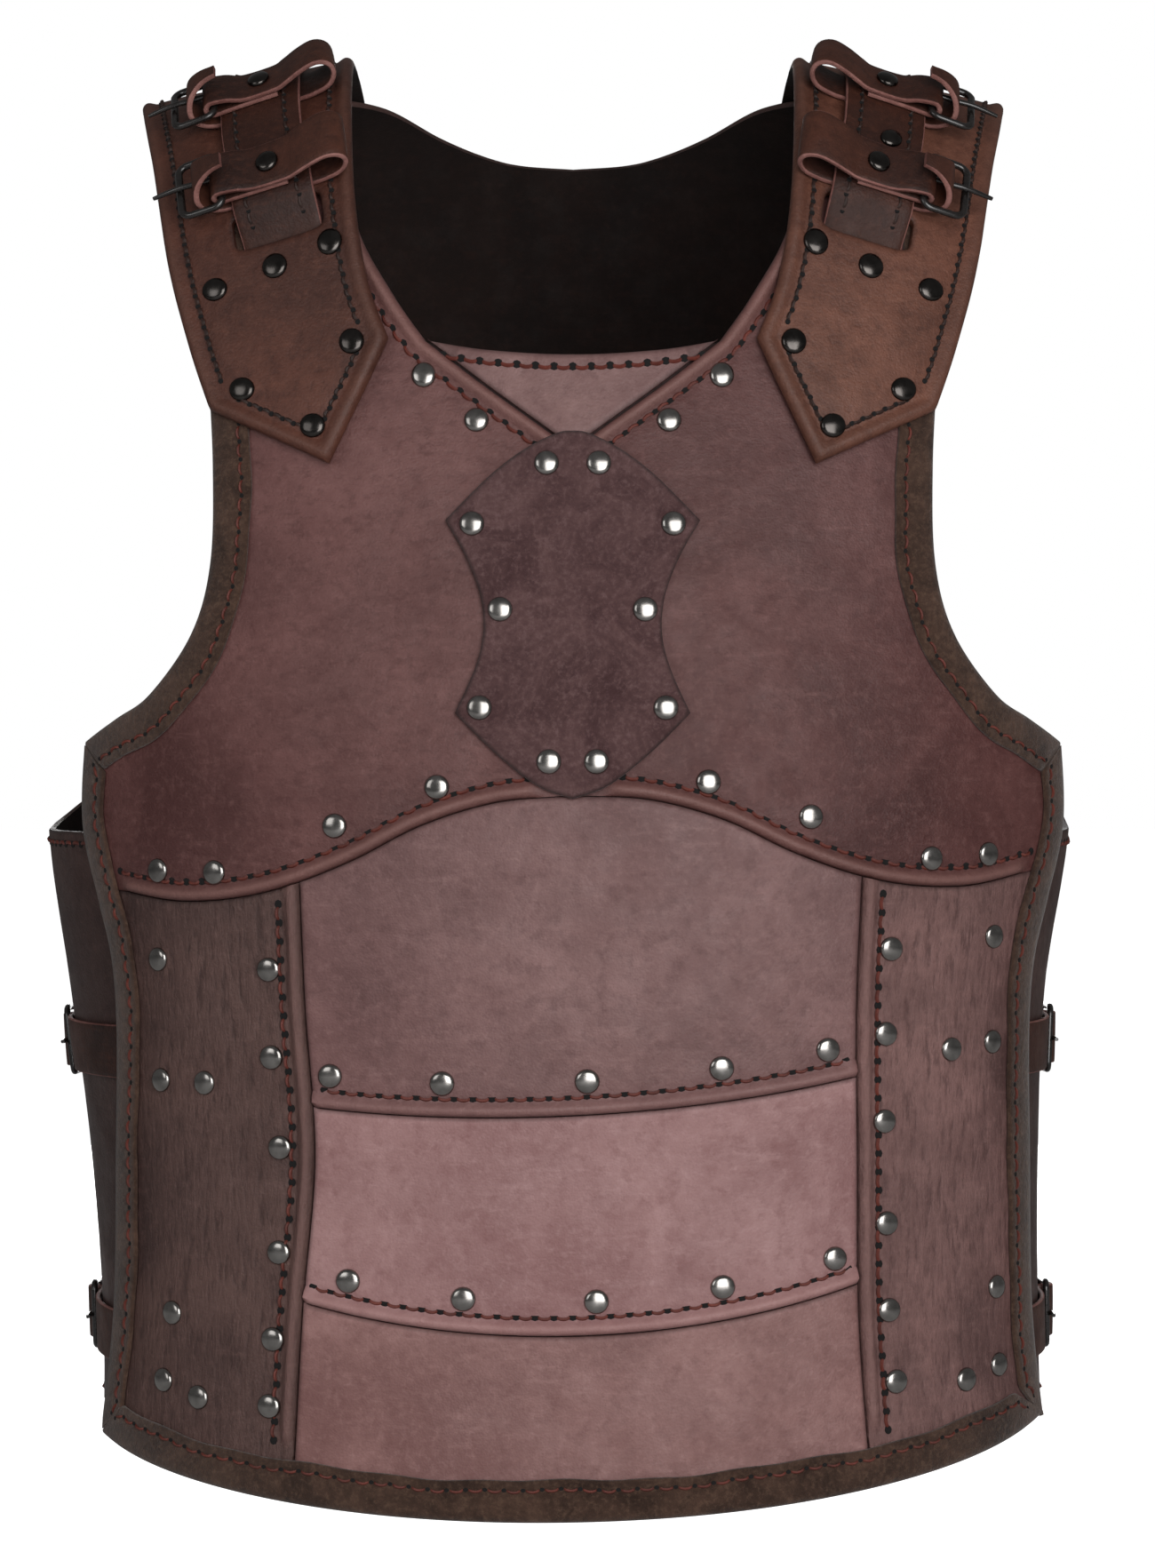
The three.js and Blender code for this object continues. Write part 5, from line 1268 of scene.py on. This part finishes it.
def prong_piece(name, place, path, replaced):
    """A buckle's prong, which thins towards its tip."""
    line = curve(path, 0.8)
    radii = 1.15 - 0.35 * np.linspace(0, 1, len(line)) ** 4
    return wire_tube(name, place, np.insert(line, 1, 0, axis=1), radii, replaced)


def belt_place(side, down0):
    """What places a cross belt: along it, across it and above its plate."""
    middle = float(strap_middle(down0))

    def place(along, across, height):
        down = down0 + along * math.sin(BELT_TURN) + across * math.cos(BELT_TURN)
        x = middle + along * math.cos(BELT_TURN) - across * math.sin(BELT_TURN)
        return lifted(on_shoulder, side * x, down, plate_top(down) + height)
    return place


for word, side in SIDES:
    for level, down0 in BELTS:
        place = belt_place(side, down0)
        strap_piece(f"belt_{level}_{word}_hide", place, BELT_PATH, BELT, BELT_WIDTH,
                    [f"belt_{level}_{word}"],
                    step=1.3, point=BELT_POINT)
        wire_frame(f"buckle_{level}_{word}_wire", place, BAR, FRAME_WIDTH, [f"buckle_{level}_{word}"])
        prong_piece(f"prong_{level}_{word}_wire", place, BELT_PRONG, [f"prong_{level}_{word}"])
        head = rivets(f"belt_rivet_{level}_{word}_head", place, [(-1, 0)],
                      as_function(OVER_FOLD + BELT / 2 + 0.3), radius=STRAP_RIVET, metal=blackened_steel)
        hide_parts(f"belt_rivet_{level}_{word}")

# ------------------------------------------------------------------ side closures
# On each side two tongues come out from under the front and are buckled to a folded chape on
# the back hide. Tongues and chapes are 22 mm straps, and the buckles are painted wire.
CLOSURES = [("upper", 454), ("lower", 572)]
CLOSURE_WIDTH = 22
SIDE_FRAME_WIDTH = 27
BAR_Y = 46
CHAPE_LOW = BACK_LEATHER + LAY + 0.4
SIDE_BAR = (0, CHAPE_LOW + FOLD)
CHAPE_HIGH = CHAPE_LOW + BELT + 0.35
CHAPE_PATH = [(-46, CHAPE_LOW), (-26, CHAPE_LOW), (-8, CHAPE_LOW), *fold_around(SIDE_BAR, FOLD, -90, 90),
              (-8, SIDE_BAR[1] + FOLD - 1.8), (-16, CHAPE_HIGH), (-46, CHAPE_HIGH)]
SIDE_PRONG = [(-WIRE, SIDE_BAR[1] + 1.2), (WIRE, SIDE_BAR[1] + 1.4), (9, SIDE_BAR[1] + 1.9),
              (FRAME_LENGTH, SIDE_BAR[1] + WIRE + 1.2), (21, SIDE_BAR[1] + 2.6)]
OVER_BAR = SIDE_BAR[1] + FOLD + BELT + 0.4
TONGUE_END = CHAPE_HIGH + BELT / 2 + LAY


def stand_off(side, run, down):
    """How far the front's inner face stands off the flap at each place."""
    reach = np.arange(0, 40, 0.4)
    n, m = len(run), len(reach)
    points = lifted(on_back, side * np.repeat(run, m), np.repeat(down, m), np.tile(reach, n))
    row = smooth_rows(SECTIONS, np.repeat(down, m))
    ahead = np.maximum(0, row[:, MID] - points[:, 1]) / (row[:, MID] - row[:, FRONT])
    within = (np.abs(points[:, 0]) / row[:, HALF]) ** ROUNDNESS + ahead**ROUNDNESS < 1
    return reach[np.argmin(within.reshape(n, m), axis=1)]


for level, down0 in CLOSURES:
    for word, side in SIDES:
        bar = run_at(down0, side, BAR_Y)
        front_edge = run_at(down0, side, -58) - bar

        def place(along, across, height):
            return lifted(on_back, side * (bar + along), down0 + across, height)

        def place_tongue(along, across, height):
            """Lifts the tongue off the flap towards the front's inner face, where it is held."""
            share = ease((along - front_edge + 22) / 16)
            rise = np.zeros(len(along))
            ahead = share > 0
            rise[ahead] = np.maximum(0, stand_off(side, bar + along[ahead], down0 + across[ahead])
                                     - CHAPE_LOW - BELT / 2 - 1)
            return place(along, across, height + rise * share)

        tongue = [(-40, TONGUE_END), (-20, TONGUE_END), (-10, TONGUE_END + 1.6), (-3.5, OVER_BAR),
                  (2.5, OVER_BAR - 0.4), (6.5, OVER_BAR - 3.6), (8.6, CHAPE_LOW + 2.9), (12, CHAPE_LOW),
                  (30, CHAPE_LOW), (50, CHAPE_LOW), (68, CHAPE_LOW), (front_edge + 19, CHAPE_LOW)]
        strap_piece(f"chape_{level}_{word}_hide", place, CHAPE_PATH, BELT, CLOSURE_WIDTH,
                    [f"chape_{level}_{word}"], step=1.5)
        strap_piece(f"tongue_{level}_{word}_hide", place_tongue, tongue, BELT, CLOSURE_WIDTH,
                    [f"tongue_{level}_{word}"])
        wire_frame(f"side_buckle_{level}_{word}_wire", place, SIDE_BAR, SIDE_FRAME_WIDTH,
                   [f"side_buckle_{level}_{word}"])
        prong_piece(f"side_prong_{level}_{word}_wire", place, SIDE_PRONG, [f"side_prong_{level}_{word}"])

# ------------------------------------------------------------------ studio
# A white floor and a white room that show pure white but light the piece only a little, two
# large soft lights in front and a low one behind.
FLOOR_Z, FLOOR_REACH = -0.66, 30
DARK_ROOM = 0.14         # what the room sends back to the piece, where the camera sees 1


def studio_white():
    """Matt white paper that shows pure white and lights the piece no more than paper would."""
    material = fresh("studio floor")
    seen = add_node(material, "ShaderNodeLightPath").outputs["Is Camera Ray"]
    return shaded(material, {"Base Color": (0.6, 0.6, 0.6, 1), "Roughness": 0.9,
                             "Emission Color": (1, 1, 1, 1), "Emission Strength": seen})


floor_mesh = bpy.data.meshes.new("studio_floor")
corners = [(x * FLOOR_REACH, y * FLOOR_REACH, FLOOR_Z) for x, y in ((-1, -1), (1, -1), (1, 1), (-1, 1))]
floor_mesh.from_pydata(corners, [], [(0, 1, 2, 3)])
floor_mesh.materials.append(studio_white())
floor = bpy.data.objects.new("studio_floor", floor_mesh)
bpy.context.scene.collection.objects.link(floor)

world = bpy.data.worlds.new("studio")
bpy.context.scene.world = world
world.use_nodes = True
seen = add_node(world, "ShaderNodeLightPath").outputs["Is Camera Ray"]
background = world.node_tree.nodes["Background"]
feed(world, background.inputs["Color"], (1, 1, 1, 1))
feed(world, background.inputs["Strength"], spread(world, seen, 0, 1, DARK_ROOM, 1.0))


def soft_light(name, place, size, watts, aim=(0, 0, -0.3)):
    light = bpy.data.lights.new(name, "AREA")
    light.size = size
    light.energy = watts
    lamp = bpy.data.objects.new(name, light)
    lamp.location = place
    lamp.rotation_euler = (Vector(aim) - Vector(place)).to_track_quat("-Z", "Y").to_euler()
    bpy.context.scene.collection.objects.link(lamp)


soft_light("key", (0.6, -2.2, 0.1), 1.5, 36)
soft_light("fill", (-1.6, -1.6, 0.4), 1.0, 7)
soft_light("rear", (0, 2.4, -0.2), 1.4, 42)

camera = bpy.data.objects.new("camera", bpy.data.cameras.new("camera"))
camera.data.lens = 88.2
camera.data.sensor_width = 36
camera.location = (0.00185, -1.6, -0.282)
camera.rotation_euler = (math.pi / 2, 0, 0)
bpy.context.scene.collection.objects.link(camera)
bpy.context.scene.camera = camera
bpy.context.scene.view_settings.view_transform = "Standard"
